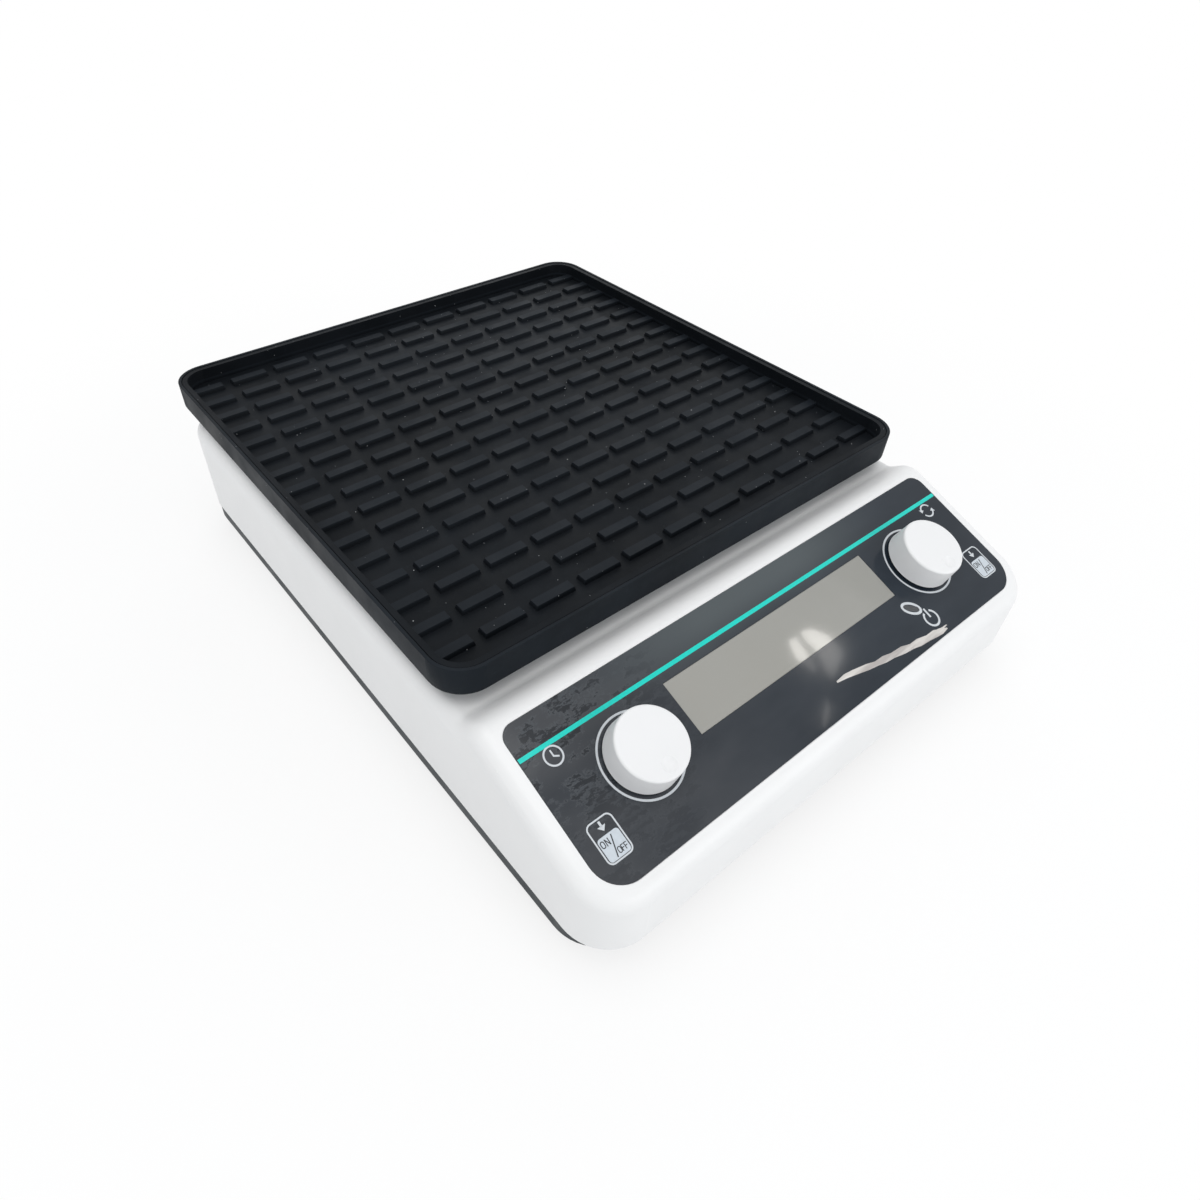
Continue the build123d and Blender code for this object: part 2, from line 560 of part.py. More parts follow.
with BuildPart() as upper_casing:
    add(casing_form(0.0, Z_SEAM))
    add(casing_form(CASING_WALL, Z_SEAM - OVERLAP), mode=Mode.SUBTRACT)
    # posts for the casing screws, each tied to the side wall by a web above the pan's tongue
    for x, y in CASING_SCREW_PLACES:
        side = 1 if x > 0 else -1
        top = roof(y) - CASING_WALL
        with BuildSketch(Plane.XY.offset(Z_SEAM)):
            with Locations((x, y)):
                Circle(SCREW_BOSS)
        extrude(amount=top - Z_SEAM + OVERLAP)
        with BuildSketch(Plane.XY.offset(Z_SEAM + LIP_RISE + OVERLAP)):
            with Locations((x + side * SCREW_BOSS_INSET / 2 - side * CASING_WALL / 4, y)):
                Rectangle(SCREW_BOSS_INSET - CASING_WALL / 2, WEB_THICKNESS)
        extrude(amount=top - Z_SEAM - LIP_RISE - OVERLAP)
    with BuildSketch(Plane.XY.offset(Z_SEAM)):
        with Locations(*CASING_SCREW_PLACES):
            Circle(SCREW_RADIUS + SCREW_CLEARANCE)
    extrude(amount=SCREW_BOSS_BORE, mode=Mode.SUBTRACT)
    # splash collars and wells for the hub and the idler bosses
    with BuildSketch(Plane.XY.offset(Z_DECK - OVERLAP)):
        with Locations((0, Y_CRANK)):
            Circle(HUB_WELL + COLLAR_WIDTH)
        with Locations(*IDLER_PLACES):
            Circle(IDLER_WELL + COLLAR_WIDTH)
    extrude(amount=OVERLAP + COLLAR_HEIGHT)
    with BuildSketch(Plane.XY.offset(Z_DECK + COLLAR_HEIGHT)):
        with Locations((0, Y_CRANK)):
            Circle(HUB_WELL)
        with Locations(*IDLER_PLACES):
            Circle(IDLER_WELL)
    extrude(amount=-COLLAR_HEIGHT - CASING_WALL - OVERLAP, mode=Mode.SUBTRACT)
    # seat for the film, openings for what stands behind it, posts for the control board
    with BuildSketch(PANEL.offset(-CASING_WALL / 2)):
        with Locations(*BOARD_POSTS):
            Circle(BOARD_POST)
    extrude(amount=-(BOARD_DEPTH - CASING_WALL / 2))
    with BuildSketch(PANEL.offset(-BOARD_DEPTH)):
        with Locations(*BOARD_POSTS):
            Circle(BOARD_SCREW_RADIUS + SCREW_CLEARANCE)
    extrude(amount=ENCODER_HEIGHT - OVERLAP, mode=Mode.SUBTRACT)
    with BuildSketch(PANEL):
        film_outline(FILM_CLEARANCE)
    extrude(amount=-FILM_THICKNESS, mode=Mode.SUBTRACT)
    with BuildSketch(PANEL):
        with Locations((0, WINDOW_V)):
            Rectangle(WINDOW_WIDTH, WINDOW_LENGTH)
        with Locations((-KNOB_X, KNOB_V), (KNOB_X, KNOB_V)):
            Circle(BUSH_RADIUS + SCREW_CLEARANCE)
        lamp_outline(SEAT)
    extrude(amount=-CASING_WALL - OVERLAP / 2, mode=Mode.SUBTRACT)
    # openings for the inlet and the switch in the rear wall
    with BuildSketch(Plane.XZ.offset(-Y_BACK)):
        with Locations((INLET_X, Z_FITTING)):
            Rectangle(INLET_BODY[0] + PANEL_CUT_CLEARANCE, INLET_BODY[1] + PANEL_CUT_CLEARANCE)
            with Locations((-INLET_SCREW_PITCH / 2, 0), (INLET_SCREW_PITCH / 2, 0)):
                Circle(SCREW_RADIUS + SCREW_CLEARANCE)
        with Locations((SWITCH_X, Z_FITTING)):
            Rectangle(SWITCH_BODY[0] + PANEL_CUT_CLEARANCE, SWITCH_BODY[1] + PANEL_CUT_CLEARANCE)
    extrude(amount=CASING_WALL + OVERLAP, mode=Mode.SUBTRACT)
save(upper_casing.part, "upper_casing")

# ================================================================ base pan, feet and their screws
CASING_SCREW_SEAT = Z_PAN + CASING_SCREW_RECESS
PAN_INSIDE = CASING_WALL + LIP_CLEARANCE
PAN_CAVITY = PAN_INSIDE + LIP_THICKNESS

with BuildPart() as base_pan:
    with BuildSketch(Plane.XY.offset(Z_PAN)):
        plan(PAN_INSET, PAN_FRONT_INSET, PAN_INSET, CASING_CORNER - PAN_INSET)
    extrude(amount=PAN_HEIGHT)
    fillet(base_pan.edges().group_by(Axis.Z)[0], PAN_EDGE)
    with BuildSketch(Plane.XY.offset(Z_SEAM - BAND_HEIGHT)):
        plan(PAN_INSET, PAN_INSIDE, PAN_INSET, CASING_CORNER - PAN_INSET)
    extrude(amount=BAND_HEIGHT)
    with BuildSketch(Plane.XY.offset(Z_SEAM - BAND_HEIGHT)):
        plan(PAN_INSIDE, PAN_INSIDE, PAN_INSIDE, CASING_CORNER - PAN_INSIDE)
    extrude(amount=BAND_HEIGHT + LIP_RISE)
    with BuildSketch(Plane.XY.offset(Z_FLOOR)):
        plan(PAN_CAVITY, PAN_FRONT_INSET + PAN_WALL, PAN_CAVITY, CASING_CORNER - PAN_CAVITY)
    extrude(amount=PAN_HEIGHT + LIP_RISE, mode=Mode.SUBTRACT)
    # posts for the casing, the drive plate, the power board and the feet
    with BuildSketch(Plane.XY.offset(Z_FLOOR)):
        with Locations(*CASING_SCREW_PLACES):
            Circle(SCREW_BOSS + PAN_POST_EXTRA)
    extrude(amount=Z_SEAM - Z_FLOOR)
    with BuildSketch(Plane.XY.offset(Z_FLOOR)):
        with Locations(*PLATE_SCREW_PLACES):
            Circle(PLATE_POST)
    extrude(amount=PLATE_RISE, taper=PLATE_POST_DRAFT)
    with BuildSketch(Plane.XY.offset(Z_FLOOR)):
        with Locations(*POWER_SCREW_PLACES):
            Circle(POWER_POST)
    extrude(amount=POWER_BOARD_RISE)
    with BuildSketch(Plane.XY.offset(Z_FLOOR)):
        with Locations(*FOOT_PLACES):
            Circle(SCREW_BOSS)
    extrude(amount=FOOT_BOSS_HEIGHT)
    # screw holes
    with BuildSketch(Plane.XY.offset(Z_PAN)):
        with Locations(*CASING_SCREW_PLACES):
            Circle(SCREW_RADIUS + SCREW_CLEARANCE)
    extrude(amount=PAN_HEIGHT, mode=Mode.SUBTRACT)
    with BuildSketch(Plane.XY.offset(Z_PAN)):
        with Locations(*CASING_SCREW_PLACES):
            Circle(SCREW_HEAD_RADIUS + HEAD_ROOM)
    extrude(amount=CASING_SCREW_SEAT - Z_PAN, mode=Mode.SUBTRACT)
    with BuildSketch(Plane.XY.offset(Z_PAN)):
        with Locations(*FOOT_PLACES):
            Circle(SCREW_RADIUS + SCREW_CLEARANCE)
    extrude(amount=PAN_FLOOR + FOOT_BOSS_HEIGHT - OVERLAP, mode=Mode.SUBTRACT)
    with BuildSketch(Plane.XY.offset(Z_PLATE)):
        with Locations(*PLATE_SCREW_PLACES):
            Circle(SCREW_RADIUS + SCREW_CLEARANCE)
    extrude(amount=-PLATE_POST_BORE, mode=Mode.SUBTRACT)
    with BuildSketch(Plane.XY.offset(Z_FLOOR + POWER_BOARD_RISE)):
        with Locations(*POWER_SCREW_PLACES):
            Circle(SCREW_RADIUS + SCREW_CLEARANCE)
    extrude(amount=-POWER_BOARD_RISE, mode=Mode.SUBTRACT)
    # cooling slots under the power board
    with BuildSketch(Plane.XY.offset(Z_PAN)):
        with Locations((POWER_BOARD_X, POWER_BOARD_Y)):
            with GridLocations(VENT_PITCH, 0, VENT_COUNT, 1):
                SlotOverall(VENT_LENGTH, VENT_WIDTH, rotation=90)
    extrude(amount=PAN_FLOOR, mode=Mode.SUBTRACT)
save(base_pan.part, "base_pan")

FOOT_SCREW_SEAT = FOOT_HEIGHT - FOOT_SOLE

with BuildPart() as rubber_feet:
    with BuildSketch(Plane.XY.offset(Z_PAN)):
        with Locations(*FOOT_PLACES):
            Circle(FOOT_RADIUS)
    extrude(amount=-FOOT_HEIGHT, taper=FOOT_DRAFT)
    with BuildSketch(Plane.XY):
        with Locations(*FOOT_PLACES):
            Circle(SCREW_HEAD_RADIUS + FOOT_HEAD_ROOM)
    extrude(amount=FOOT_SCREW_SEAT, mode=Mode.SUBTRACT)
    with BuildSketch(Plane.XY):
        with Locations(*FOOT_PLACES):
            Circle(SCREW_RADIUS + SCREW_CLEARANCE)
    extrude(amount=FOOT_HEIGHT, mode=Mode.SUBTRACT)
save(rubber_feet.part, "rubber_feet")

save(screws(FOOT_PLACES, FOOT_SCREW_SEAT, FOOT_SCREW_REACH, True), "foot_screws")
save(screws(CASING_SCREW_PLACES, CASING_SCREW_SEAT, CASING_SCREW_REACH, True), "casing_screws")

# ================================================================ console: film, window, lamp
NUT_OPENING = NUT_ACROSS / 2 / cos(pi / 6) + NUT_CLEARANCE
KNOB_SPOTS = {"time": panel_place(-KNOB_X, KNOB_V), "speed": panel_place(KNOB_X, KNOB_V)}

with BuildPart() as control_panel_film:
    with BuildSketch(PANEL):
        film_outline(0.0)
        with Locations((0, WINDOW_V)):
            Rectangle(WINDOW_WIDTH, WINDOW_LENGTH, mode=Mode.SUBTRACT)
        with Locations((-KNOB_X, KNOB_V), (KNOB_X, KNOB_V)):
            Circle(NUT_OPENING, mode=Mode.SUBTRACT)
        lamp_outline(SEAT, Mode.SUBTRACT)
    extrude(amount=-FILM_THICKNESS)
save(control_panel_film.part, "control_panel_film")

with BuildPart() as display_window:
    with BuildSketch(PANEL.offset(-WINDOW_RECESS)):
        with Locations((0, WINDOW_V)):
            Rectangle(WINDOW_WIDTH - 2 * WINDOW_RECESS, WINDOW_LENGTH - 2 * WINDOW_RECESS)
    extrude(amount=-WINDOW_THICKNESS)
save(display_window.part, "display_window")

with BuildPart() as power_lamp:
    with BuildSketch(PANEL.offset(SCREW_CLEARANCE - BOARD_DEPTH)):
        lamp_outline(0.0)
    extrude(amount=BOARD_DEPTH - SCREW_CLEARANCE + LAMP_PROUD)
    chamfer(power_lamp.edges().group_by(Axis(PANEL.origin, PANEL.z_dir))[-1], LAMP_PROUD)
save(power_lamp.part, "power_lamp")

# ================================================================ control board and its parts
BOARD_TOP = PANEL.offset(-BOARD_DEPTH)
BOARD_BACK = BOARD_TOP.offset(-BOARD_THICKNESS)

with BuildPart() as control_board:
    with BuildSketch(BOARD_TOP):
        RectangleRounded(BOARD_WIDTH, BOARD_LENGTH, BOARD_CORNER)
        with Locations(*BOARD_POSTS):
            Circle(BOARD_SCREW_RADIUS + SCREW_CLEARANCE, mode=Mode.SUBTRACT)
    extrude(amount=-BOARD_THICKNESS)
    # controller, driver and regulator chips, then the three cable headers
    with BuildSketch(BOARD_BACK):
        with Locations(CONTROLLER_PLACE):
            Rectangle(CONTROLLER_SIZE, CONTROLLER_SIZE)
        with GridLocations(DRIVER_SPACING, 0, 2, 1):
            Rectangle(*DRIVER_SIZE)
    extrude(amount=-CHIP_HEIGHT)
    with BuildSketch(BOARD_BACK):
        with Locations(*HEADER_PLACES):
            Rectangle(HEADER_SIZE[0], HEADER_SIZE[1])
    extrude(amount=-HEADER_SIZE[2])
save(control_board.part, "control_board")

save(
    screws(BOARD_POSTS, -BOARD_DEPTH - BOARD_THICKNESS, BOARD_THICKNESS + BOARD_SCREW_BITE, True,
           plane=PANEL, head_radius=BOARD_SCREW_HEAD, shank_radius=BOARD_SCREW_RADIUS),
    "control_board_screws",
)

with BuildPart() as lcd_module:
    with BuildSketch(BOARD_TOP):
        with Locations((0, WINDOW_V)):
            RectangleRounded(WINDOW_WIDTH + 2 * LCD_MARGIN, WINDOW_LENGTH + 2 * LCD_MARGIN, LCD_CORNER)
    extrude(amount=LCD_HEIGHT)
    with BuildSketch(BOARD_TOP.offset(LCD_HEIGHT)):
        with Locations((0, WINDOW_V)):
            Rectangle(WINDOW_WIDTH + LCD_MARGIN / 2, WINDOW_LENGTH + LCD_MARGIN / 2)
    extrude(amount=-LCD_STEP, mode=Mode.SUBTRACT)
save(lcd_module.part, "lcd_module")

with BuildPart() as alarm_buzzer:
    with BuildSketch(BOARD_BACK):
        with Locations((BUZZER_X, 0)):
            Circle(BUZZER_RADIUS)
    extrude(amount=-BUZZER_HEIGHT)
    with BuildSketch(BOARD_BACK.offset(-BUZZER_HEIGHT)):
        with Locations((BUZZER_X, 0)):
            Circle(BUZZER_PORT_RADIUS)
    extrude(amount=BUZZER_PORT_DEPTH, mode=Mode.SUBTRACT)
save(alarm_buzzer.part, "alarm_buzzer")

# ================================================================ encoders and knobs
PLUNGER_BASE = -BOARD_DEPTH + ENCODER_FLOOR + PUSH_TRAVEL + RUNNING
PLUNGER_TOP = PLUNGER_BASE + PLUNGER_HEIGHT
KNOB_CAVITY = KNOB_TOP_RADIUS - KNOB_SKIN
KNOB_HUB_BASE = BUSH_TOP + PUSH_TRAVEL + KNOB_HUB_GAP
DIMPLE_SPHERE = (DIMPLE_RADIUS**2 + DIMPLE_DEPTH**2) / (2 * DIMPLE_DEPTH)


def shaft_section(radius, flat):
    """Sketch a round section with one flat."""
    Circle(radius)
    with Locations((0, flat)):
        Rectangle(2 * radius, 2 * radius, align=(Align.CENTER, Align.MIN), mode=Mode.SUBTRACT)


for setting, spot in KNOB_SPOTS.items():
    normal = Axis(spot.origin, spot.z_dir)

    with BuildPart() as encoder_body:
        with BuildSketch(spot.offset(-BOARD_DEPTH)):
            Rectangle(ENCODER_SIZE, ENCODER_SIZE)
        extrude(amount=ENCODER_HEIGHT)
        chamfer(encoder_body.edges().filter_by(normal), ENCODER_EDGE)
        with BuildSketch(spot.offset(-CASING_WALL)):
            Circle(BUSH_RADIUS)
        extrude(amount=CASING_WALL + BUSH_TOP)
        with BuildSketch(spot.offset(BUSH_TOP)):
            Circle(SHAFT_RADIUS + RUNNING)
        extrude(amount=-(BUSH_TOP + BOARD_DEPTH - ENCODER_FLOOR), mode=Mode.SUBTRACT)
    save(encoder_body.part, f"{setting}_encoder_body")

    with BuildPart() as encoder_nut:
        with BuildSketch(spot.offset(-FILM_THICKNESS)):
            RegularPolygon(NUT_ACROSS / 2, 6, major_radius=False)
            Circle(BUSH_RADIUS + SEAT, mode=Mode.SUBTRACT)
        extrude(amount=NUT_THICKNESS)
    save(encoder_nut.part, f"{setting}_encoder_nut")

    with BuildPart() as plunger:
        with BuildSketch(spot.offset(PLUNGER_BASE)):
            Circle(SHAFT_RADIUS)
        extrude(amount=PLUNGER_HEIGHT)
        chamfer(plunger.edges().group_by(normal)[0], PLUNGER_EDGE)
    save(plunger.part, f"{setting}_plunger")

    with BuildPart() as shaft:
        with BuildSketch(spot.offset(PLUNGER_TOP + SEAT)):
            Circle(SHAFT_RADIUS)
        extrude(amount=KNOB_HUB_BASE - PLUNGER_TOP - SEAT)
        with BuildSketch(spot.offset(KNOB_HUB_BASE)):
            shaft_section(SHAFT_RADIUS, SHAFT_FLAT)
        extrude(amount=SHAFT_TOP - KNOB_HUB_BASE)
    save(shaft.part, f"{setting}_shaft")

    with BuildPart() as knob:
        with BuildSketch(spot.offset(KNOB_LIFT)):
            Circle(KNOB_RADIUS)
        with BuildSketch(spot.offset(KNOB_TOP)):
            Circle(KNOB_TOP_RADIUS)
        loft()
        fillet(knob.edges().sort_by(normal)[-1], KNOB_ROUND)
        with BuildSketch(spot.offset(KNOB_LIFT)):
            Circle(KNOB_CAVITY)
        extrude(amount=KNOB_TOP - KNOB_LIFT - KNOB_SKIN, mode=Mode.SUBTRACT)
        with BuildSketch(spot.offset(KNOB_HUB_BASE)):
            Circle(KNOB_HUB)
        extrude(amount=KNOB_TOP - KNOB_HUB_BASE - KNOB_SKIN)
        with BuildSketch(spot.offset(KNOB_HUB_BASE)):
            shaft_section(SHAFT_RADIUS + SEAT, SHAFT_FLAT + SEAT)
        extrude(amount=SHAFT_TOP - KNOB_HUB_BASE + SEAT, mode=Mode.SUBTRACT)
        dimple = Location((0, -DIMPLE_OFFSET, KNOB_TOP + DIMPLE_SPHERE - DIMPLE_DEPTH))
        with Locations(Plane(spot.location * dimple)):
            Sphere(DIMPLE_SPHERE, mode=Mode.SUBTRACT)
    save(knob.part, f"{setting}_knob")

# ================================================================ power board
Z_POWER = Z_FLOOR + POWER_BOARD_RISE
Z_POWER_TOP = Z_POWER + BOARD_THICKNESS

with BuildPart() as power_board:
    with BuildSketch(Plane.XY.offset(Z_POWER)):
        with Locations((POWER_BOARD_X, POWER_BOARD_Y)):
            RectangleRounded(POWER_BOARD_WIDTH, POWER_BOARD_LENGTH, BOARD_CORNER)
        with Locations(*POWER_SCREW_PLACES):
            Circle(SCREW_RADIUS + SCREW_CLEARANCE, mode=Mode.SUBTRACT)
    extrude(amount=BOARD_THICKNESS)
    # finned cooling bar, fuse holder and the two terminal blocks
    with BuildSketch(Plane.XY.offset(Z_POWER_TOP)):
        with Locations((POWER_BOARD_X + COOLER_X, POWER_BOARD_Y)):
            Rectangle(*COOLER_SPINE)
            with GridLocations(0, COOLER_PITCH, 1, COOLER_FINS):
                Rectangle(*COOLER_FIN)
    extrude(amount=COOLER_HEIGHT)
    with BuildSketch(Plane.XY.offset(Z_POWER_TOP)):
        with Locations((POWER_BOARD_X + TERMINAL_X, POWER_BOARD_Y)):
            Rectangle(*TERMINAL_SIZE)
        with Locations((POWER_BOARD_X + FUSE_PLACE[0], POWER_BOARD_Y + FUSE_PLACE[1])):
            Rectangle(*FUSE_SIZE)
    extrude(amount=TERMINAL_HEIGHT)
save(power_board.part, "power_board")

TRANSFORMER_PLACE = (POWER_BOARD_X + TRANSFORMER_X, POWER_BOARD_Y + TRANSFORMER_Y)

with BuildPart() as power_transformer:
    with BuildSketch(Plane.XY.offset(Z_POWER_TOP)):
        with Locations(TRANSFORMER_PLACE):
            Rectangle(TRANSFORMER_SIZE[0], TRANSFORMER_SIZE[1])
    extrude(amount=TRANSFORMER_SIZE[2])
    chamfer(power_transformer.edges().filter_by(Axis.Z), TRANSFORMER_EDGE)
    with BuildSketch(Plane.XY.offset(Z_POWER_TOP + WINDING_RISE)):
        with Locations(TRANSFORMER_PLACE):
            with GridLocations(TRANSFORMER_SIZE[0], 0, 2, 1):
                Rectangle(2 * WINDING_DEPTH, WINDING_LENGTH)
    extrude(amount=WINDING_HEIGHT, mode=Mode.SUBTRACT)
save(power_transformer.part, "power_transformer")

with BuildPart() as power_capacitors:
    with BuildSketch(Plane.XY.offset(Z_POWER_TOP)):
        with Locations(*[(POWER_BOARD_X + x, POWER_BOARD_Y + CAPACITOR_Y) for x in CAPACITOR_X]):
            Circle(CAPACITOR_RADIUS)
    extrude(amount=CAPACITOR_HEIGHT)
    chamfer(power_capacitors.edges().group_by(Axis.Z)[-1], CAPACITOR_EDGE)
save(power_capacitors.part, "power_capacitors")

POWER_SCREW_REACH = BOARD_THICKNESS + POWER_SCREW_BITE
save(screws(POWER_SCREW_PLACES, Z_POWER_TOP, POWER_SCREW_REACH, False), "power_board_screws")

# ================================================================ power inlet and switch in the rear wall
REAR = Plane.XZ.offset(-Y_BACK)
INLET_FACE = REAR.offset(-INLET_FLANGE[2])
SOCKET_FLOOR = INLET_FACE.offset(INLET_SOCKET[2])
PIN_PLACES = [
    (INLET_X - INLET_PIN_PITCH, Z_FITTING - INLET_LINE_DROP),
    (INLET_X, Z_FITTING + INLET_EARTH_RISE),
    (INLET_X + INLET_PIN_PITCH, Z_FITTING - INLET_LINE_DROP),
]
INLET_SCREW_PLACES = [(INLET_X + side * INLET_SCREW_PITCH / 2, Z_FITTING) for side in (-1, 1)]

with BuildPart() as power_inlet:
    with BuildSketch(REAR):
        with Locations((INLET_X, Z_FITTING)):
            RectangleRounded(INLET_FLANGE[0], INLET_FLANGE[1], INLET_CORNER)
        with Locations(*INLET_SCREW_PLACES):
            Circle(SCREW_RADIUS + SCREW_CLEARANCE, mode=Mode.SUBTRACT)
    extrude(amount=-INLET_FLANGE[2])
    with BuildSketch(REAR):
        with Locations((INLET_X, Z_FITTING)):
            Rectangle(*INLET_BODY)
    extrude(amount=INLET_DEPTH)
    with BuildSketch(INLET_FACE):
        with Locations((INLET_X, Z_FITTING)):
            socket = Rectangle(INLET_SOCKET[0], INLET_SOCKET[1])
        chamfer(socket.vertices().group_by(Axis.Y)[-1], INLET_CHAMFER)
    extrude(amount=INLET_SOCKET[2], mode=Mode.SUBTRACT)
    with BuildSketch(SOCKET_FLOOR):
        with Locations(*PIN_PLACES):
            Rectangle(INLET_PIN[0] + SEAT, INLET_PIN[1] + SEAT)
    extrude(amount=INLET_DEPTH, mode=Mode.SUBTRACT)
save(power_inlet.part, "power_inlet")

with BuildPart() as inlet_pins:
    with BuildSketch(SOCKET_FLOOR.offset(-INLET_PIN[2])):
        with Locations(*PIN_PLACES):
            Rectangle(INLET_PIN[0], INLET_PIN[1])
    extrude(amount=INLET_PIN[2] + INLET_DEPTH + INLET_FLANGE[2] - INLET_SOCKET[2] + INLET_TAIL)
    chamfer(inlet_pins.edges().group_by(Axis.Y)[-1].filter_by(Axis.Z), INLET_PIN_EDGE)
save(inlet_pins.part, "inlet_pins")

INLET_SCREW_REACH = INLET_FLANGE[2] + CASING_WALL + INLET_SCREW_BITE
save(screws(INLET_SCREW_PLACES, -INLET_FLANGE[2], INLET_SCREW_REACH, True, plane=REAR), "inlet_screws")

with BuildPart() as switch_frame:
    with BuildSketch(REAR):
        with Locations((SWITCH_X, Z_FITTING)):
            RectangleRounded(SWITCH_BEZEL[0], SWITCH_BEZEL[1], SWITCH_CORNER)
    extrude(amount=-SWITCH_BEZEL[2])
    chamfer(switch_frame.edges().group_by(Axis.Y)[-1], SWITCH_EDGE)
    with BuildSketch(REAR):
        with Locations((SWITCH_X, Z_FITTING)):
            Rectangle(*SWITCH_BODY)
    extrude(amount=SWITCH_DEPTH)
    with BuildSketch(REAR.offset(-SWITCH_BEZEL[2])):
        with Locations((SWITCH_X, Z_FITTING)):
            Rectangle(SWITCH_WELL[0], SWITCH_WELL[1])
    extrude(amount=SWITCH_WELL[2], mode=Mode.SUBTRACT)
save(switch_frame.part, "switch_frame")

ROCKER_PIVOT = (SWITCH_X, Y_BACK - ROCKER_SET_IN, Z_FITTING)
ROCKER_PLANE = Plane(
    origin=ROCKER_PIVOT,
    x_dir=(cos(radians(ROCKER_TILT)), sin(radians(ROCKER_TILT)), 0),
    z_dir=(0, 0, 1),
)

with BuildPart() as power_rocker:
    with BuildSketch(ROCKER_PLANE):
        with BuildLine():
            ThreePointArc(
                (ROCKER_LENGTH / 2, ROCKER_HORN), (0, ROCKER_WAIST), (-ROCKER_LENGTH / 2, ROCKER_HORN)
            )
            Polyline(
                (-ROCKER_LENGTH / 2, ROCKER_HORN),
                (-ROCKER_LENGTH / 2, 0),
                (-ROCKER_KEEL_LENGTH / 2, -ROCKER_KEEL),
                (ROCKER_KEEL_LENGTH / 2, -ROCKER_KEEL),
                (ROCKER_LENGTH / 2, 0),
                (ROCKER_LENGTH / 2, ROCKER_HORN),
            )
        make_face()
    extrude(amount=ROCKER_WIDTH / 2, both=True)
save(power_rocker.part, "power_rocker")

# ================================================================ drive plate, main bearing and motor
CRANK_CENTRE = (0.0, Y_CRANK)
PIN_CENTRE = (0.0, Y_CRANK - ORBIT_RADIUS)
MOTOR_CENTRE = (0.0, Y_MOTOR)
HOUSING_BOLTS = ring_places(CRANK_CENTRE, HOUSING_BOLT_CIRCLE, 4, 45.0)
MOTOR_BOLTS = ring_places(MOTOR_CENTRE, MOTOR_BOLT_CIRCLE, 4, 45.0)
IDLER_BOLTS = [(x + side * IDLER_BOLT_SPACING / 2, y) for x, y in IDLER_PLACES for side in (-1, 1)]
BOLT_REACH = PLATE_THICKNESS + BOLT_STAND_OUT

with BuildPart() as drive_plate:
    with BuildSketch(Plane.XY.offset(Z_PLATE)):
        with Locations((0, Y_PLATE)):
            RectangleRounded(PLATE_WIDTH, PLATE_LENGTH, PLATE_CORNER)
        with Locations(CRANK_CENTRE):
            Circle(BEARING_RADIUS - HOUSING_SHOULDER, mode=Mode.SUBTRACT)
        with Locations(*IDLER_PLACES):
            Circle(IDLER_BEARING_RADIUS - HOUSING_SHOULDER, mode=Mode.SUBTRACT)
        with Locations(MOTOR_CENTRE):
            Circle(MOTOR_NOSE + SCREW_CLEARANCE, mode=Mode.SUBTRACT)
        with Locations(*HOUSING_BOLTS, *MOTOR_BOLTS, *IDLER_BOLTS, *PLATE_SCREW_PLACES):
            Circle(SCREW_RADIUS + SCREW_CLEARANCE, mode=Mode.SUBTRACT)
        # two windows that lighten the plate beside the main bearing
        with Locations((-PLATE_WINDOW_OFFSET, Y_CRANK), (PLATE_WINDOW_OFFSET, Y_CRANK)):
            RectangleRounded(*PLATE_WINDOW, PLATE_WINDOW_CORNER, mode=Mode.SUBTRACT)
    extrude(amount=PLATE_THICKNESS)
save(drive_plate.part, "drive_plate")

PLATE_SCREW_REACH = PLATE_THICKNESS + PLATE_SCREW_BITE
save(screws(PLATE_SCREW_PLACES, Z_PLATE_TOP, PLATE_SCREW_REACH, False), "drive_plate_screws")

with BuildPart() as main_bearing_housing:
    seat = BEARING_RADIUS + SEAT
    shoulder = BEARING_RADIUS - HOUSING_SHOULDER
    top = Z_PLATE_TOP + HOUSING_HEIGHT
    ledge = Z_PLATE_TOP + HOUSING_FLANGE_THICKNESS
    with BuildSketch(Plane.XZ.offset(-Y_CRANK)):
        with BuildLine():
            Polyline(
                (seat, Z_PLATE_TOP),
                (HOUSING_FLANGE, Z_PLATE_TOP),
                (HOUSING_FLANGE, ledge),
                (HOUSING_RADIUS, ledge),
                (HOUSING_RADIUS, top),
                (seat, top),
                (seat, top - BEARING_WIDTH),
                (shoulder, top - BEARING_WIDTH),
                (shoulder, Z_PLATE_TOP + BEARING_WIDTH),
                (seat, Z_PLATE_TOP + BEARING_WIDTH),
                close=True,
            )
        make_face()
    revolve(axis=Axis((0, Y_CRANK, 0), (0, 0, 1)))
    with BuildSketch(Plane.XY.offset(Z_PLATE_TOP)):
        with Locations(*HOUSING_BOLTS):
            Circle(SCREW_RADIUS + SCREW_CLEARANCE)
    extrude(amount=HOUSING_FLANGE_THICKNESS, mode=Mode.SUBTRACT)
save(main_bearing_housing.part, "main_bearing_housing")

with BuildPart() as main_bearings:
    for base in (Z_PLATE_TOP, Z_PLATE_TOP + HOUSING_HEIGHT - BEARING_WIDTH):
        add(bearing([CRANK_CENTRE], base, BEARING_RADIUS, JOURNAL_RADIUS + RUNNING, BEARING_WIDTH))
save(main_bearings.part, "main_bearings")

HOUSING_LEDGE = Z_PLATE_TOP + HOUSING_FLANGE_THICKNESS
HOUSING_BOLT_REACH = HOUSING_FLANGE_THICKNESS + BOLT_REACH
save(screws(HOUSING_BOLTS, HOUSING_LEDGE, HOUSING_BOLT_REACH, False), "bearing_housing_screws")

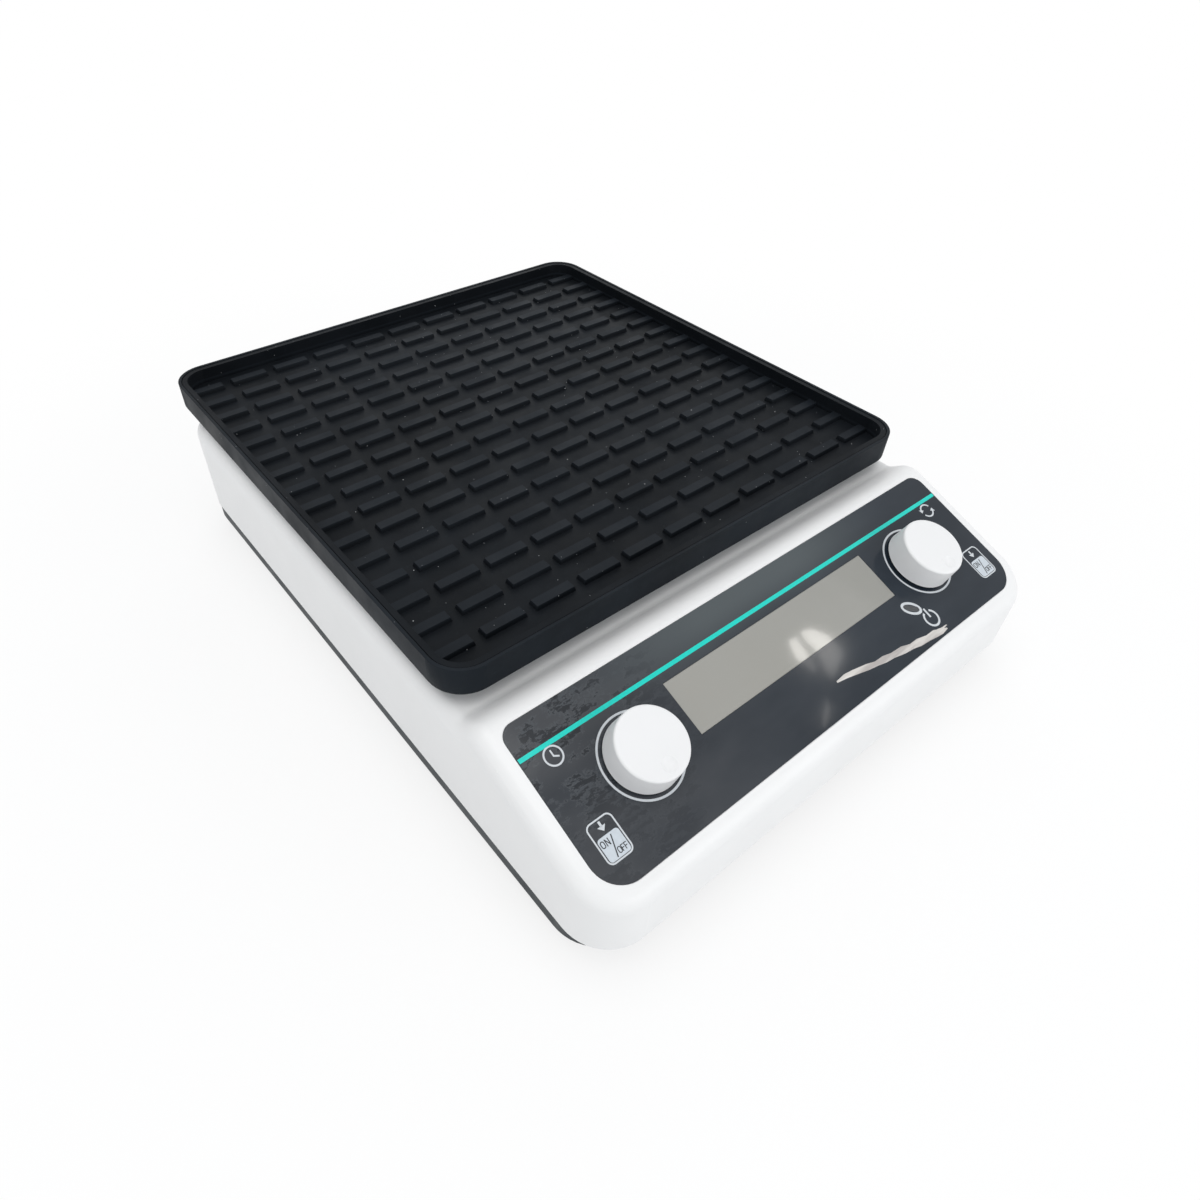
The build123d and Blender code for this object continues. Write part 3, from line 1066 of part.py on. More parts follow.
MOTOR_TOP = Z_PLATE_TOP + MOTOR_HEIGHT
with BuildPart() as motor_body:
    with BuildSketch(Plane.XY.offset(Z_PLATE_TOP)):
        with Locations(MOTOR_CENTRE):
            Circle(MOTOR_RADIUS)
    extrude(amount=MOTOR_HEIGHT)
    fillet(motor_body.edges().group_by(Axis.Z)[-1], MOTOR_EDGE)
    with BuildSketch(Plane.XY.offset(Z_PLATE_TOP)):
        with Locations(MOTOR_CENTRE):
            Circle(MOTOR_NOSE)
    extrude(amount=-PLATE_THICKNESS)
    with BuildSketch(Plane.XY.offset(Z_PLATE_TOP + MOTOR_JOINT_RISE)):
        with Locations(MOTOR_CENTRE):
            Circle(MOTOR_RADIUS)
            Circle(MOTOR_RADIUS - MOTOR_JOINT, mode=Mode.SUBTRACT)
    extrude(amount=MOTOR_JOINT, mode=Mode.SUBTRACT)
    with BuildSketch(Plane.XY.offset(Z_PLATE)):
        with Locations(MOTOR_CENTRE):
            Circle(MOTOR_SHAFT + RUNNING)
    extrude(amount=PLATE_THICKNESS + MOTOR_BORE, mode=Mode.SUBTRACT)
    with BuildSketch(Plane.XY.offset(Z_PLATE_TOP)):
        with Locations(*MOTOR_BOLTS):
            Circle(SCREW_RADIUS + SCREW_CLEARANCE)
    extrude(amount=MOTOR_BOLT_DEPTH, mode=Mode.SUBTRACT)
save(motor_body.part, "motor_body")

save(screws(MOTOR_BOLTS, Z_PLATE, PLATE_THICKNESS + MOTOR_BOLT_BITE, True), "motor_screws")

# ================================================================ motor shaft, pulleys and belt
with BuildPart() as motor_shaft:
    with BuildSketch(Plane.XY.offset(Z_SHAFT_END)):
        with Locations(MOTOR_CENTRE):
            Circle(MOTOR_SHAFT)
    extrude(amount=Z_PLATE_TOP + MOTOR_SHAFT_REACH - Z_SHAFT_END)
save(motor_shaft.part, "motor_shaft")


def pulley(centre_y, radius, bore, web):
    """A flat-belt pulley with two guide flanges; a large one gets a thin web between hub and rim."""
    low = Z_BELT - PULLEY_FLANGE
    high = Z_BELT + PULLEY_WIDTH + PULLEY_FLANGE
    guide = radius + PULLEY_FLANGE_RISE
    with BuildPart() as wheel:
        with BuildSketch(Plane.XZ.offset(-centre_y)):
            with BuildLine():
                Polyline(
                    (bore, low),
                    (guide, low),
                    (guide, Z_BELT),
                    (radius, Z_BELT),
                    (radius, Z_BELT + PULLEY_WIDTH),
                    (guide, Z_BELT + PULLEY_WIDTH),
                    (guide, high),
                    (bore, high),
                    close=True,
                )
            make_face()
        revolve(axis=Axis((0, centre_y, 0), (0, 0, 1)))
        if web:
            for level, way in ((low, 1), (high, -1)):
                with BuildSketch(Plane.XY.offset(level)):
                    with Locations((0, centre_y)):
                        Circle(radius - PULLEY_RIM)
                        Circle(PULLEY_HUB, mode=Mode.SUBTRACT)
                extrude(amount=way * (high - low - PULLEY_WEB) / 2, mode=Mode.SUBTRACT)
            with BuildSketch(Plane.XY.offset(low)):
                middle_radius = (PULLEY_HUB + radius - PULLEY_RIM) / 2
                with Locations(*ring_places((0, centre_y), middle_radius, PULLEY_WINDOWS, 90.0)):
                    Circle((radius - PULLEY_RIM - PULLEY_HUB) / 2 - PULLEY_WINDOW_RIM)
            extrude(amount=high - low, mode=Mode.SUBTRACT)
    return wheel.part


save(pulley(Y_MOTOR, MOTOR_PULLEY_RADIUS, MOTOR_SHAFT + SEAT, False), "motor_pulley")
save(pulley(Y_CRANK, PULLEY_RADIUS, JOURNAL_RADIUS + SEAT, True), "drive_pulley")


def belt_loop(grow):
    """Sketch the area that a band round both pulleys encloses, grown outwards."""
    with Locations(CRANK_CENTRE):
        Circle(PULLEY_RADIUS + grow)
    with Locations(MOTOR_CENTRE):
        Circle(MOTOR_PULLEY_RADIUS + grow)
    make_hull()


with BuildPart() as drive_belt:
    with BuildSketch(Plane.XY.offset(Z_BELT + BELT_THICKNESS / 4)):
        belt_loop(BELT_CLEARANCE + BELT_THICKNESS)
    extrude(amount=PULLEY_WIDTH - BELT_THICKNESS / 2)
    with BuildSketch(Plane.XY.offset(Z_BELT)):
        belt_loop(BELT_CLEARANCE)
    extrude(amount=PULLEY_WIDTH, mode=Mode.SUBTRACT)
save(drive_belt.part, "drive_belt")

# ================================================================ crank and counterweight
Z_PIN_ROOF = Z_TRAY - PIN_WELL_ROOF
Z_PIN_TOP = Z_PIN_ROOF - PIN_HEADROOM
WEIGHT_BOLTS = ring_places(CRANK_CENTRE, COUNTERWEIGHT_BOLT_CIRCLE, 4, 45.0)[:2]
Z_WEIGHT_TOP = Z_CRANK_TOP + COUNTERWEIGHT_THICKNESS

with BuildPart() as crank_shaft:
    with BuildSketch(Plane.XY.offset(Z_SHAFT_END)):
        with Locations(CRANK_CENTRE):
            Circle(JOURNAL_RADIUS)
    extrude(amount=Z_CRANK - Z_SHAFT_END)
    with BuildSketch(Plane.XY.offset(Z_CRANK)):
        with Locations(CRANK_CENTRE):
            Circle(CRANK_DISC_RADIUS)
    extrude(amount=CRANK_DISC_THICKNESS)
    with BuildSketch(Plane.XY.offset(Z_CRANK)):
        with Locations(CRANK_CENTRE):
            Circle(JOURNAL_RADIUS + CRANK_COLLAR)
    extrude(amount=-CRANK_LIFT / 2)
    with BuildSketch(Plane.XY.offset(Z_CRANK_TOP)):
        with Locations(PIN_CENTRE):
            Circle(JOURNAL_RADIUS)
    extrude(amount=Z_PIN_TOP - Z_CRANK_TOP)
    chamfer(crank_shaft.edges().group_by(Axis.Z)[-1], PIN_EDGE)
    with BuildSketch(Plane.XY.offset(Z_CRANK_TOP)):
        with Locations(*WEIGHT_BOLTS):
            Circle(SCREW_RADIUS + SCREW_CLEARANCE)
    extrude(amount=DISC_FLOOR - CRANK_DISC_THICKNESS, mode=Mode.SUBTRACT)
save(crank_shaft.part, "crank_shaft")

with BuildPart() as counterweight:
    with BuildSketch(Plane.XY.offset(Z_CRANK_TOP)):
        with Locations(CRANK_CENTRE):
            Circle(COUNTERWEIGHT_RADIUS)
            Circle(COUNTERWEIGHT_BORE, mode=Mode.SUBTRACT)
        with Locations((0, Y_CRANK + COUNTERWEIGHT_SETBACK - COUNTERWEIGHT_RADIUS)):
            Rectangle(2 * COUNTERWEIGHT_RADIUS, 2 * COUNTERWEIGHT_RADIUS, mode=Mode.SUBTRACT)
        with Locations(*WEIGHT_BOLTS):
            Circle(SCREW_RADIUS + SCREW_CLEARANCE, mode=Mode.SUBTRACT)
    extrude(amount=COUNTERWEIGHT_THICKNESS)
    with BuildSketch(Plane.XY.offset(Z_WEIGHT_TOP)):
        with Locations(*WEIGHT_BOLTS):
            Circle(SCREW_HEAD_RADIUS + SCREW_CLEARANCE)
    extrude(amount=-SCREW_HEAD_HEIGHT, mode=Mode.SUBTRACT)
save(counterweight.part, "counterweight")

Z_WEIGHT_SEAT = Z_WEIGHT_TOP - SCREW_HEAD_HEIGHT
WEIGHT_SCREW_REACH = Z_WEIGHT_SEAT - Z_CRANK - DISC_FLOOR - SCREW_CLEARANCE
save(screws(WEIGHT_BOLTS, Z_WEIGHT_SEAT, WEIGHT_SCREW_REACH, False), "counterweight_screws")

# ================================================================ idlers
Z_IDLER_END = Z_PLATE - IDLER_SHAFT_END
IDLER_NAMES = ("front_left", "back_left", "front_right", "back_right")

with BuildPart() as idler_bearing_blocks:
    with BuildSketch(Plane.XY.offset(Z_PLATE_TOP)):
        with Locations(*IDLER_PLACES):
            RectangleRounded(IDLER_BLOCK_FLANGE[0], IDLER_BLOCK_FLANGE[1], IDLER_BLOCK_CORNER)
    extrude(amount=IDLER_BLOCK_FLANGE[2])
    with BuildSketch(Plane.XY.offset(Z_PLATE_TOP)):
        with Locations(*IDLER_PLACES):
            Circle(IDLER_BLOCK_RADIUS)
    extrude(amount=IDLER_BLOCK_HEIGHT)
    with BuildSketch(Plane.XY.offset(Z_PLATE_TOP)):
        with Locations(*IDLER_PLACES):
            Circle(IDLER_BEARING_RADIUS - HOUSING_SHOULDER)
        with Locations(*IDLER_BOLTS):
            Circle(SCREW_RADIUS + SCREW_CLEARANCE)
    extrude(amount=IDLER_BLOCK_HEIGHT, mode=Mode.SUBTRACT)
    for level, way in ((Z_PLATE_TOP, 1), (Z_PLATE_TOP + IDLER_BLOCK_HEIGHT, -1)):
        with BuildSketch(Plane.XY.offset(level)):
            with Locations(*IDLER_PLACES):
                Circle(IDLER_BEARING_RADIUS + SEAT)
        extrude(amount=way * IDLER_BEARING_WIDTH, mode=Mode.SUBTRACT)
save(idler_bearing_blocks.part, "idler_bearing_blocks")

with BuildPart() as idler_lower_bearings:
    for base in (Z_PLATE_TOP, Z_PLATE_TOP + IDLER_BLOCK_HEIGHT - IDLER_BEARING_WIDTH):
        add(bearing(IDLER_PLACES, base, IDLER_BEARING_RADIUS, IDLER_JOURNAL + RUNNING, IDLER_BEARING_WIDTH))
save(idler_lower_bearings.part, "idler_lower_bearings")

save(screws(IDLER_BOLTS, Z_PLATE_TOP + IDLER_BLOCK_FLANGE[2], IDLER_BLOCK_FLANGE[2] + BOLT_REACH, False),
     "idler_block_screws")

for name, place, pin_place in zip(IDLER_NAMES, IDLER_PLACES, IDLER_PIN_PLACES):
    with BuildPart() as idler_crank:
        with BuildSketch(Plane.XY.offset(Z_IDLER_END)):
            with Locations(place):
                Circle(IDLER_JOURNAL)
        extrude(amount=Z_IDLER - Z_IDLER_END)
        with BuildSketch(Plane.XY.offset(Z_IDLER)):
            with Locations(place):
                Circle(IDLER_DISC_RADIUS)
        extrude(amount=IDLER_DISC_THICKNESS)
        with BuildSketch(Plane.XY.offset(Z_IDLER)):
            with Locations(place):
                Circle(IDLER_JOURNAL + IDLER_COLLAR)
        extrude(amount=-CRANK_LIFT / 2)
        with BuildSketch(Plane.XY.offset(Z_IDLER_TOP)):
            with Locations(pin_place):
                Circle(IDLER_JOURNAL)
        extrude(amount=Z_PIN_TOP - Z_IDLER_TOP)
        chamfer(idler_crank.edges().group_by(Axis.Z)[-1], PIN_EDGE)
    save(idler_crank.part, f"idler_crank_{name}")

# ================================================================ platform: hub, bosses, tray and mat
Z_HUB = Z_FLANGE - HUB_DROP
Z_BOSS = Z_FLANGE - IDLER_BOSS_DROP
HUB_BOLTS = ring_places(PIN_CENTRE, HUB_BOLT_CIRCLE, 4, 45.0)
BOSS_BOLTS = [(x + side * IDLER_BOSS_BOLTS / 2, y) for x, y in IDLER_PIN_PLACES for side in (-1, 1)]

with BuildPart() as platform_hub:
    with BuildSketch(Plane.XY.offset(Z_FLANGE)):
        with Locations(PIN_CENTRE):
            Circle(HUB_FLANGE)
        with Locations(*HUB_BOLTS):
            Circle(SCREW_RADIUS + SCREW_CLEARANCE, mode=Mode.SUBTRACT)
    extrude(amount=FLANGE_THICKNESS)
    with BuildSketch(Plane.XY.offset(Z_HUB)):
        with Locations(PIN_CENTRE):
            Circle(HUB_RADIUS)
    extrude(amount=HUB_DROP)
    with BuildSketch(Plane.XY.offset(Z_HUB)):
        with Locations(PIN_CENTRE):
            Circle(BEARING_RADIUS + SEAT)
    extrude(amount=BEARING_WIDTH + SCREW_CLEARANCE, mode=Mode.SUBTRACT)
    with BuildSketch(Plane.XY.offset(Z_HUB)):
        with Locations(PIN_CENTRE):
            Circle(JOURNAL_RADIUS + HUB_PIN_ROOM)
    extrude(amount=Z_PIN_ROOF - Z_HUB, mode=Mode.SUBTRACT)
save(platform_hub.part, "platform_hub")

save(bearing([PIN_CENTRE], Z_HUB + SCREW_CLEARANCE, BEARING_RADIUS, JOURNAL_RADIUS + RUNNING, BEARING_WIDTH),
     "hub_bearing")

with BuildPart() as idler_bosses:
    with BuildSketch(Plane.XY.offset(Z_FLANGE)):
        with Locations(*IDLER_PIN_PLACES):
            RectangleRounded(IDLER_BOSS_FLANGE[0], IDLER_BOSS_FLANGE[1], IDLER_BOSS_CORNER)
        with Locations(*BOSS_BOLTS):
            Circle(SCREW_RADIUS + SCREW_CLEARANCE, mode=Mode.SUBTRACT)
    extrude(amount=FLANGE_THICKNESS)
    with BuildSketch(Plane.XY.offset(Z_BOSS)):
        with Locations(*IDLER_PIN_PLACES):
            Circle(IDLER_BOSS_RADIUS)
    extrude(amount=IDLER_BOSS_DROP)
    with BuildSketch(Plane.XY.offset(Z_BOSS)):
        with Locations(*IDLER_PIN_PLACES):
            Circle(IDLER_TOP_BEARING_RADIUS + SEAT)
    extrude(amount=IDLER_TOP_BEARING_WIDTH + SCREW_CLEARANCE, mode=Mode.SUBTRACT)
    with BuildSketch(Plane.XY.offset(Z_BOSS)):
        with Locations(*IDLER_PIN_PLACES):
            Circle(IDLER_JOURNAL + BOSS_PIN_ROOM)
    extrude(amount=Z_PIN_ROOF - Z_BOSS, mode=Mode.SUBTRACT)
save(idler_bosses.part, "idler_bosses")

save(bearing(IDLER_PIN_PLACES, Z_BOSS + SCREW_CLEARANCE, IDLER_TOP_BEARING_RADIUS,
             IDLER_JOURNAL + IDLER_FREE_PLAY, IDLER_TOP_BEARING_WIDTH), "idler_upper_bearings")

TRAY_CENTRE = (0.0, Y_TRAY)
Z_MAT = Z_TRAY + TRAY_FLOOR
TRAY_INSIDE = TRAY_SIZE - 2 * TRAY_WALL

with BuildPart() as platform_tray:
    with BuildSketch(Plane.XY.offset(Z_TRAY)):
        with Locations(TRAY_CENTRE):
            RectangleRounded(TRAY_SIZE, TRAY_SIZE, TRAY_CORNER)
    extrude(amount=TRAY_HEIGHT)
    fillet(platform_tray.edges().group_by(Axis.Z)[0], TRAY_EDGE)
    with BuildSketch(Plane.XY.offset(Z_MAT)):
        with Locations(TRAY_CENTRE):
            RectangleRounded(TRAY_INSIDE, TRAY_INSIDE, TRAY_CORNER - TRAY_WALL)
    extrude(amount=TRAY_HEIGHT, mode=Mode.SUBTRACT)
    with Locations(*[(x, y, Z_MAT) for x, y in HUB_BOLTS + BOSS_BOLTS]):
        CounterSinkHole(
            SCREW_RADIUS + SCREW_CLEARANCE, SCREW_HEAD_RADIUS + SCREW_CLEARANCE, TRAY_FLOOR, COUNTERSINK
        )
save(platform_tray.part, "platform_tray")

PLATFORM_SCREW_REACH = TRAY_FLOOR + FLANGE_THICKNESS - SCREW_END_ROOM
save(countersunk_screws(HUB_BOLTS + BOSS_BOLTS, Z_MAT, PLATFORM_SCREW_REACH), "platform_screws")

with BuildPart() as rubber_mat:
    mat_corner = TRAY_CORNER - TRAY_WALL - MAT_SEAM
    with BuildSketch(Plane.XY.offset(Z_MAT)):
        with Locations(TRAY_CENTRE):
            RectangleRounded(MAT_SIZE, MAT_SIZE, mat_corner)
    extrude(amount=Z_RIM - MAT_DROP - Z_MAT)
    with BuildSketch(Plane.XY.offset(Z_MAT + MAT_FLOOR)):
        with Locations(TRAY_CENTRE):
            RectangleRounded(MAT_INSIDE, MAT_INSIDE, mat_corner - MAT_LIP)
    extrude(amount=TRAY_HEIGHT, mode=Mode.SUBTRACT)
    with BuildSketch(Plane.XY.offset(Z_MAT + MAT_FLOOR)):
        with Locations((0, Y_TRAY + RIB_SHIFT)):
            with GridLocations(RIB_PITCH_X, RIB_PITCH_Y, RIB_COLUMNS, RIB_ROWS):
                Rectangle(RIB_LENGTH, RIB_WIDTH)
    extrude(amount=RIB_HEIGHT, taper=RIB_TAPER)
save(rubber_mat.part, "rubber_mat")
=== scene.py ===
import json
from math import cos, radians, sin

import bmesh
import bpy
from mathutils import Matrix, Vector


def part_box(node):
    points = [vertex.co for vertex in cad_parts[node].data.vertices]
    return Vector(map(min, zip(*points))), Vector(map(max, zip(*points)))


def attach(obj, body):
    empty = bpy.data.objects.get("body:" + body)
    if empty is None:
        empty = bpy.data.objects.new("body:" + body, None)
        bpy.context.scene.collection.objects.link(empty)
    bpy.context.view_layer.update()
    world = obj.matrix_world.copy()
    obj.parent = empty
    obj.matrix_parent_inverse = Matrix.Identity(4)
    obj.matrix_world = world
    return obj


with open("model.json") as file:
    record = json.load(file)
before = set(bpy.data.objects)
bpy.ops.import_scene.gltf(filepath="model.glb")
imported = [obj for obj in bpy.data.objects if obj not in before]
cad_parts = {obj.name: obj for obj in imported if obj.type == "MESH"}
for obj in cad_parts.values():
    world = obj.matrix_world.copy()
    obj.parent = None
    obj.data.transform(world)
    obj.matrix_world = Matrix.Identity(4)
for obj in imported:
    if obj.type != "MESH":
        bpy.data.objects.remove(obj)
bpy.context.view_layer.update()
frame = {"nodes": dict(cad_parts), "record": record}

nodes = frame["nodes"]
MM = 0.001
PLASTIC_IOR = 1.45


# ---------------------------------------------------------------- node helpers
class Shader:
    """A Principled material whose colour, roughness and bump come from nodes."""

    def __init__(self, name, rough=0.5, metallic=0.0, specular=0.5, coat=0.0, coat_rough=0.1, sheen=0.0):
        self.material = bpy.data.materials.new(name)
        self.material.use_nodes = True
        self.tree = self.material.node_tree
        self.bsdf = self.tree.nodes["Principled BSDF"]
        self.bsdf.inputs["Roughness"].default_value = rough
        self.bsdf.inputs["Metallic"].default_value = metallic
        self.bsdf.inputs["Specular IOR Level"].default_value = specular
        self.bsdf.inputs["IOR"].default_value = PLASTIC_IOR
        self.bsdf.inputs["Coat Weight"].default_value = coat
        self.bsdf.inputs["Coat Roughness"].default_value = coat_rough
        self.bsdf.inputs["Sheen Weight"].default_value = sheen
        self.place = self.node("ShaderNodeTexCoord").outputs["Object"]
        self.height = None

    def node(self, kind, **values):
        made = self.tree.nodes.new(kind)
        for key, value in values.items():
            setattr(made, key, value)
        return made

    def join(self, output, socket):
        self.tree.links.new(output, socket)

    def stretched(self, scale, turn=(0.0, 0.0, 0.0)):
        """The object's own places, turned and stretched, for patterns with a direction."""
        mapping = self.node("ShaderNodeMapping")
        mapping.inputs["Rotation"].default_value = turn
        mapping.inputs["Scale"].default_value = scale
        self.join(self.place, mapping.inputs["Vector"])
        return mapping.outputs["Vector"]

    def axes(self):
        """X, Y and Z of the object's own places, in metres."""
        made = self.node("ShaderNodeSeparateXYZ")
        self.join(self.place, made.inputs["Vector"])
        return made.outputs["X"], made.outputs["Y"], made.outputs["Z"]

    def noise(self, scale, detail=3.0, rough=0.55, vector=None):
        made = self.node("ShaderNodeTexNoise")
        made.inputs["Scale"].default_value = scale
        made.inputs["Detail"].default_value = detail
        made.inputs["Roughness"].default_value = rough
        self.join(vector or self.place, made.inputs["Vector"])
        return made.outputs["Fac"]

    def cells(self, scale, feature="F1"):
        made = self.node("ShaderNodeTexVoronoi", feature=feature)
        made.inputs["Scale"].default_value = scale
        self.join(self.place, made.inputs["Vector"])
        return made

    def band(self, value, low, high, start=0.0, end=1.0):
        """Ease from start to end while the value goes from low to high."""
        made = self.node("ShaderNodeMapRange", interpolation_type="SMOOTHSTEP")
        made.inputs["From Min"].default_value = low
        made.inputs["From Max"].default_value = high
        made.inputs["To Min"].default_value = start
        made.inputs["To Max"].default_value = end
        self.join(value, made.inputs["Value"])
        return made.outputs["Result"]

    def falling(self, value, low, high):
        """One below low, nothing above high."""
        return self.band(value, low, high, 1.0, 0.0)

    def times(self, first, second):
        made = self.node("ShaderNodeMath", operation="MULTIPLY")
        self.join(first, made.inputs[0])
        if isinstance(second, (int, float)):
            made.inputs[1].default_value = second
        else:
            self.join(second, made.inputs[1])
        return made.outputs[0]

    def mix(self, factor, first, second):
        """Go from the first colour to the second as the factor goes from nothing to one."""
        made = self.node("ShaderNodeMix", data_type="RGBA")
        self.join(factor, made.inputs["Factor"])
        for value, socket in ((first, made.inputs["A"]), (second, made.inputs["B"])):
            if isinstance(value, tuple):
                socket.default_value = (*value, 1.0)
            else:
                self.join(value, socket)
        return made.outputs["Result"]

    def colour(self, output):
        self.join(output, self.bsdf.inputs["Base Color"])

    def roughness(self, output):
        self.join(output, self.bsdf.inputs["Roughness"])

    def bump(self, output, strength, distance):
        made = self.node("ShaderNodeBump")
        made.inputs["Strength"].default_value = strength
        made.inputs["Distance"].default_value = distance
        self.join(output, made.inputs["Height"])
        if self.height is not None:
            self.join(self.height, made.inputs["Normal"])
        self.height = made.outputs["Normal"]
        self.join(self.height, self.bsdf.inputs["Normal"])


def toned(colour, factor):
    """A lighter or darker tone of a colour."""
    return tuple(min(1.0, channel * factor) for channel in colour)


def moulded(name, colour, rough, grain=1600.0, depth=0.00002, spread=0.05, **options):
    """Moulded plastic: a fine spark-eroded grain, faint clouding and small changes of gloss."""
    made = Shader(name, rough=rough, **options)
    clouds = made.band(made.noise(28.0, 4.0), 0.3, 0.7)
    made.colour(made.mix(clouds, toned(colour, 1 - spread), toned(colour, 1 + spread / 2)))
    made.roughness(made.band(made.noise(90.0, 5.0), 0.2, 0.8, rough * 0.86, min(1.0, rough * 1.14)))
    made.bump(made.noise(grain, 2.0), 0.22, depth)
    return made


def turned(name, colour, rough, stretch=(1.0, 1.0, 30.0)):
    """Machined or rolled metal: fine drawn lines, uneven gloss and a little darkening."""
    made = Shader(name, rough=rough, metallic=1.0)
    lines = made.noise(260.0, 4.0, 0.6, made.stretched(stretch))
    made.colour(made.mix(made.band(made.noise(45.0, 5.0), 0.3, 0.75), toned(colour, 0.82), colour))
    made.roughness(made.band(lines, 0.25, 0.75, rough * 0.75, min(1.0, rough * 1.3)))
    made.bump(lines, 0.16, 0.00003)
    return made


# ---------------------------------------------------------------- materials
def casing_white():
    made = moulded("casing_white", (0.82, 0.82, 0.82), 0.36, grain=2600.0, depth=0.00001, spread=0.015,
                   specular=0.42, coat=0.10, coat_rough=0.22)
    made.bump(made.noise(9.0, 1.0), 0.12, 0.0006)
    return made.material


def knob_white():
    made = moulded("knob_white", (0.80, 0.80, 0.805), 0.40, grain=3000.0, depth=0.000008, spread=0.012,
                   specular=0.45)
    return made.material


def rubber_black(name, colour, rough, specks, tops=None):
    """Matt black rubber: fine pitting, a bluish bloom, scattered dust, and rib tops painted paler as a
    highlight.
    """
    made = Shader(name, rough=rough, specular=0.08, sheen=0.010)
    made.bsdf.inputs["Sheen Roughness"].default_value = 0.45
    made.bsdf.inputs["Sheen Tint"].default_value = (0.72, 0.85, 1.0, 1.0)
    clouds = made.noise(14.0, 5.0, 0.62)
    bloom = made.mix(made.band(clouds, 0.32, 0.70), toned(colour, 0.72), toned(colour, 1.35))
    fine = made.band(made.noise(420.0, 3.0, 0.7), 0.60, 0.74)
    bloom = made.mix(made.times(fine, 0.35), bloom, toned(colour, 2.2))
    # painted highlight: the rib tops, between the heights in tops, are painted paler, standing in for the
    # sheen of light on them
    if tops:
        low, high = tops
        z = made.axes()[2]
        uneven = made.band(made.noise(55.0, 4.0), 0.25, 0.75, 0.55, 1.0)
        painted_top_highlight = made.times(made.band(z, low, high), made.falling(z, high, high + 0.4 * MM))
        bloom = made.mix(made.times(painted_top_highlight, uneven), bloom, toned(colour, 2.0))
    for scale, low, size, tone in ((specks, 0.25, 0.050, (0.34, 0.35, 0.36)),
                                   (specks * 0.6, 0.62, 0.038, (0.56, 0.57, 0.58))):
        cell = made.cells(scale)
        spot = made.falling(cell.outputs["Distance"], size * 0.55, size)
        pick = made.node("ShaderNodeSeparateColor")
        made.join(cell.outputs["Color"], pick.inputs["Color"])
        dust = made.times(spot, made.band(pick.outputs["Red"], low, low + 0.03))
        bloom = made.mix(dust, bloom, tone)
    made.colour(bloom)
    made.roughness(made.band(made.noise(60.0, 6.0), 0.25, 0.75, rough * 0.84, min(1.0, rough * 1.16)))
    made.bump(made.noise(1900.0, 3.0), 0.35, 0.00003)
    made.bump(made.noise(22.0, 2.0), 0.10, 0.0005)
    return made.material


film_low, film_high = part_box("control_panel_film")


def panel_film():
    """Dark printed film under a clear protective sheet: trapped air on its left side, soft wrinkles, and
    painted reflections: a lighter left side and a pale band near the top.
    """
    made = Shader("panel_film", rough=0.13, specular=0.26, coat=0.12, coat_rough=0.05)
    clouds = made.noise(13.0, 4.0, 0.55, made.stretched((1.0, 2.2, 2.2)))
    base = made.mix(made.band(clouds, 0.34, 0.68), (0.0110, 0.0170, 0.0255), (0.0230, 0.0310, 0.0420))
    x, y, _ = made.axes()
    # painted reflection: the film's left side is painted lighter and cloudier, standing in for a reflection
    left_reflection = made.falling(x, -0.115, 0.020)
    base = made.mix(made.times(left_reflection, made.band(clouds, 0.25, 0.65, 0.35, 1.0)), base, (0.058, 0.061, 0.067))
    # painted reflection: a pale band near the film's top edge, across the middle of its width, stands in for
    # a soft reflection
    middle = made.times(made.band(x, -0.090, -0.020), made.falling(x, 0.020, 0.085))
    top_reflection = made.times(made.band(y, film_high.y - 0.019, film_high.y - 0.003), middle)
    base = made.mix(made.times(top_reflection, 0.75), base, (0.094, 0.110, 0.116))
    # where air is trapped the sheet lies wet and dark, in patches with a rippled grain and a pale edge
    side = made.times(made.falling(x, -0.086, -0.040), made.band(y, -0.136, -0.112, 0.30, 1.0))
    field = made.noise(64.0, 7.0, 0.72, made.stretched((0.8, 1.3, 1.3)))
    wet = made.times(side, made.band(field, 0.50, 0.53))
    edge = made.times(side, made.times(made.band(field, 0.475, 0.50), made.falling(field, 0.50, 0.525)))
    ripple = made.stretched((0.30, 1.0, 1.0), (0.0, 0.0, radians(35)))
    grain = made.band(made.noise(620.0, 4.0, 0.75, ripple), 0.50, 0.56)
    pearls = made.times(wet, grain)
    base = made.mix(made.times(wet, 0.8), base, (0.0110, 0.0135, 0.0175))
    base = made.mix(made.times(pearls, 0.8), base, (0.062, 0.070, 0.080))
    base = made.mix(made.times(edge, 0.6), base, (0.075, 0.084, 0.094))
    made.colour(base)
    made.roughness(made.band(pearls, 0.0, 1.0, 0.12, 0.28))
    made.bump(pearls, 0.35, 0.00006)
    made.bump(wet, 0.15, 0.0001)
    made.bump(made.noise(16.0, 2.0), 0.07, 0.0009)
    return made.material


def display_glass():
    """Unlit liquid-crystal glass seen through its clear window: warm grey, with a painted reflection that
    makes it lighter on the left and fades a little to the right.
    """
    made = Shader("display_glass", rough=0.07, specular=0.42, coat=0.25, coat_rough=0.03)
    # painted reflection: lighter on the left, fading to the right
    base = made.mix(made.band(made.axes()[0], -0.055, 0.050), (0.318, 0.310, 0.283), (0.275, 0.272, 0.250))
    made.colour(made.mix(made.band(made.noise(22.0, 4.0), 0.3, 0.8), base, (0.312, 0.308, 0.286)))
    made.bump(made.noise(12.0, 1.0), 0.05, 0.0008)
    return made.material


def circuit_green():
    """Circuit board: green lacquer with darker fields between its tracks."""
    made = Shader("board_green", rough=0.38, coat=0.3)
    tracks = made.falling(made.cells(140.0, "DISTANCE_TO_EDGE").outputs["Distance"], 0.02, 0.07)
    made.colour(made.mix(tracks, (0.012, 0.11, 0.045), (0.03, 0.20, 0.09)))
    made.bump(tracks, 0.3, 0.00003)
    return made.material


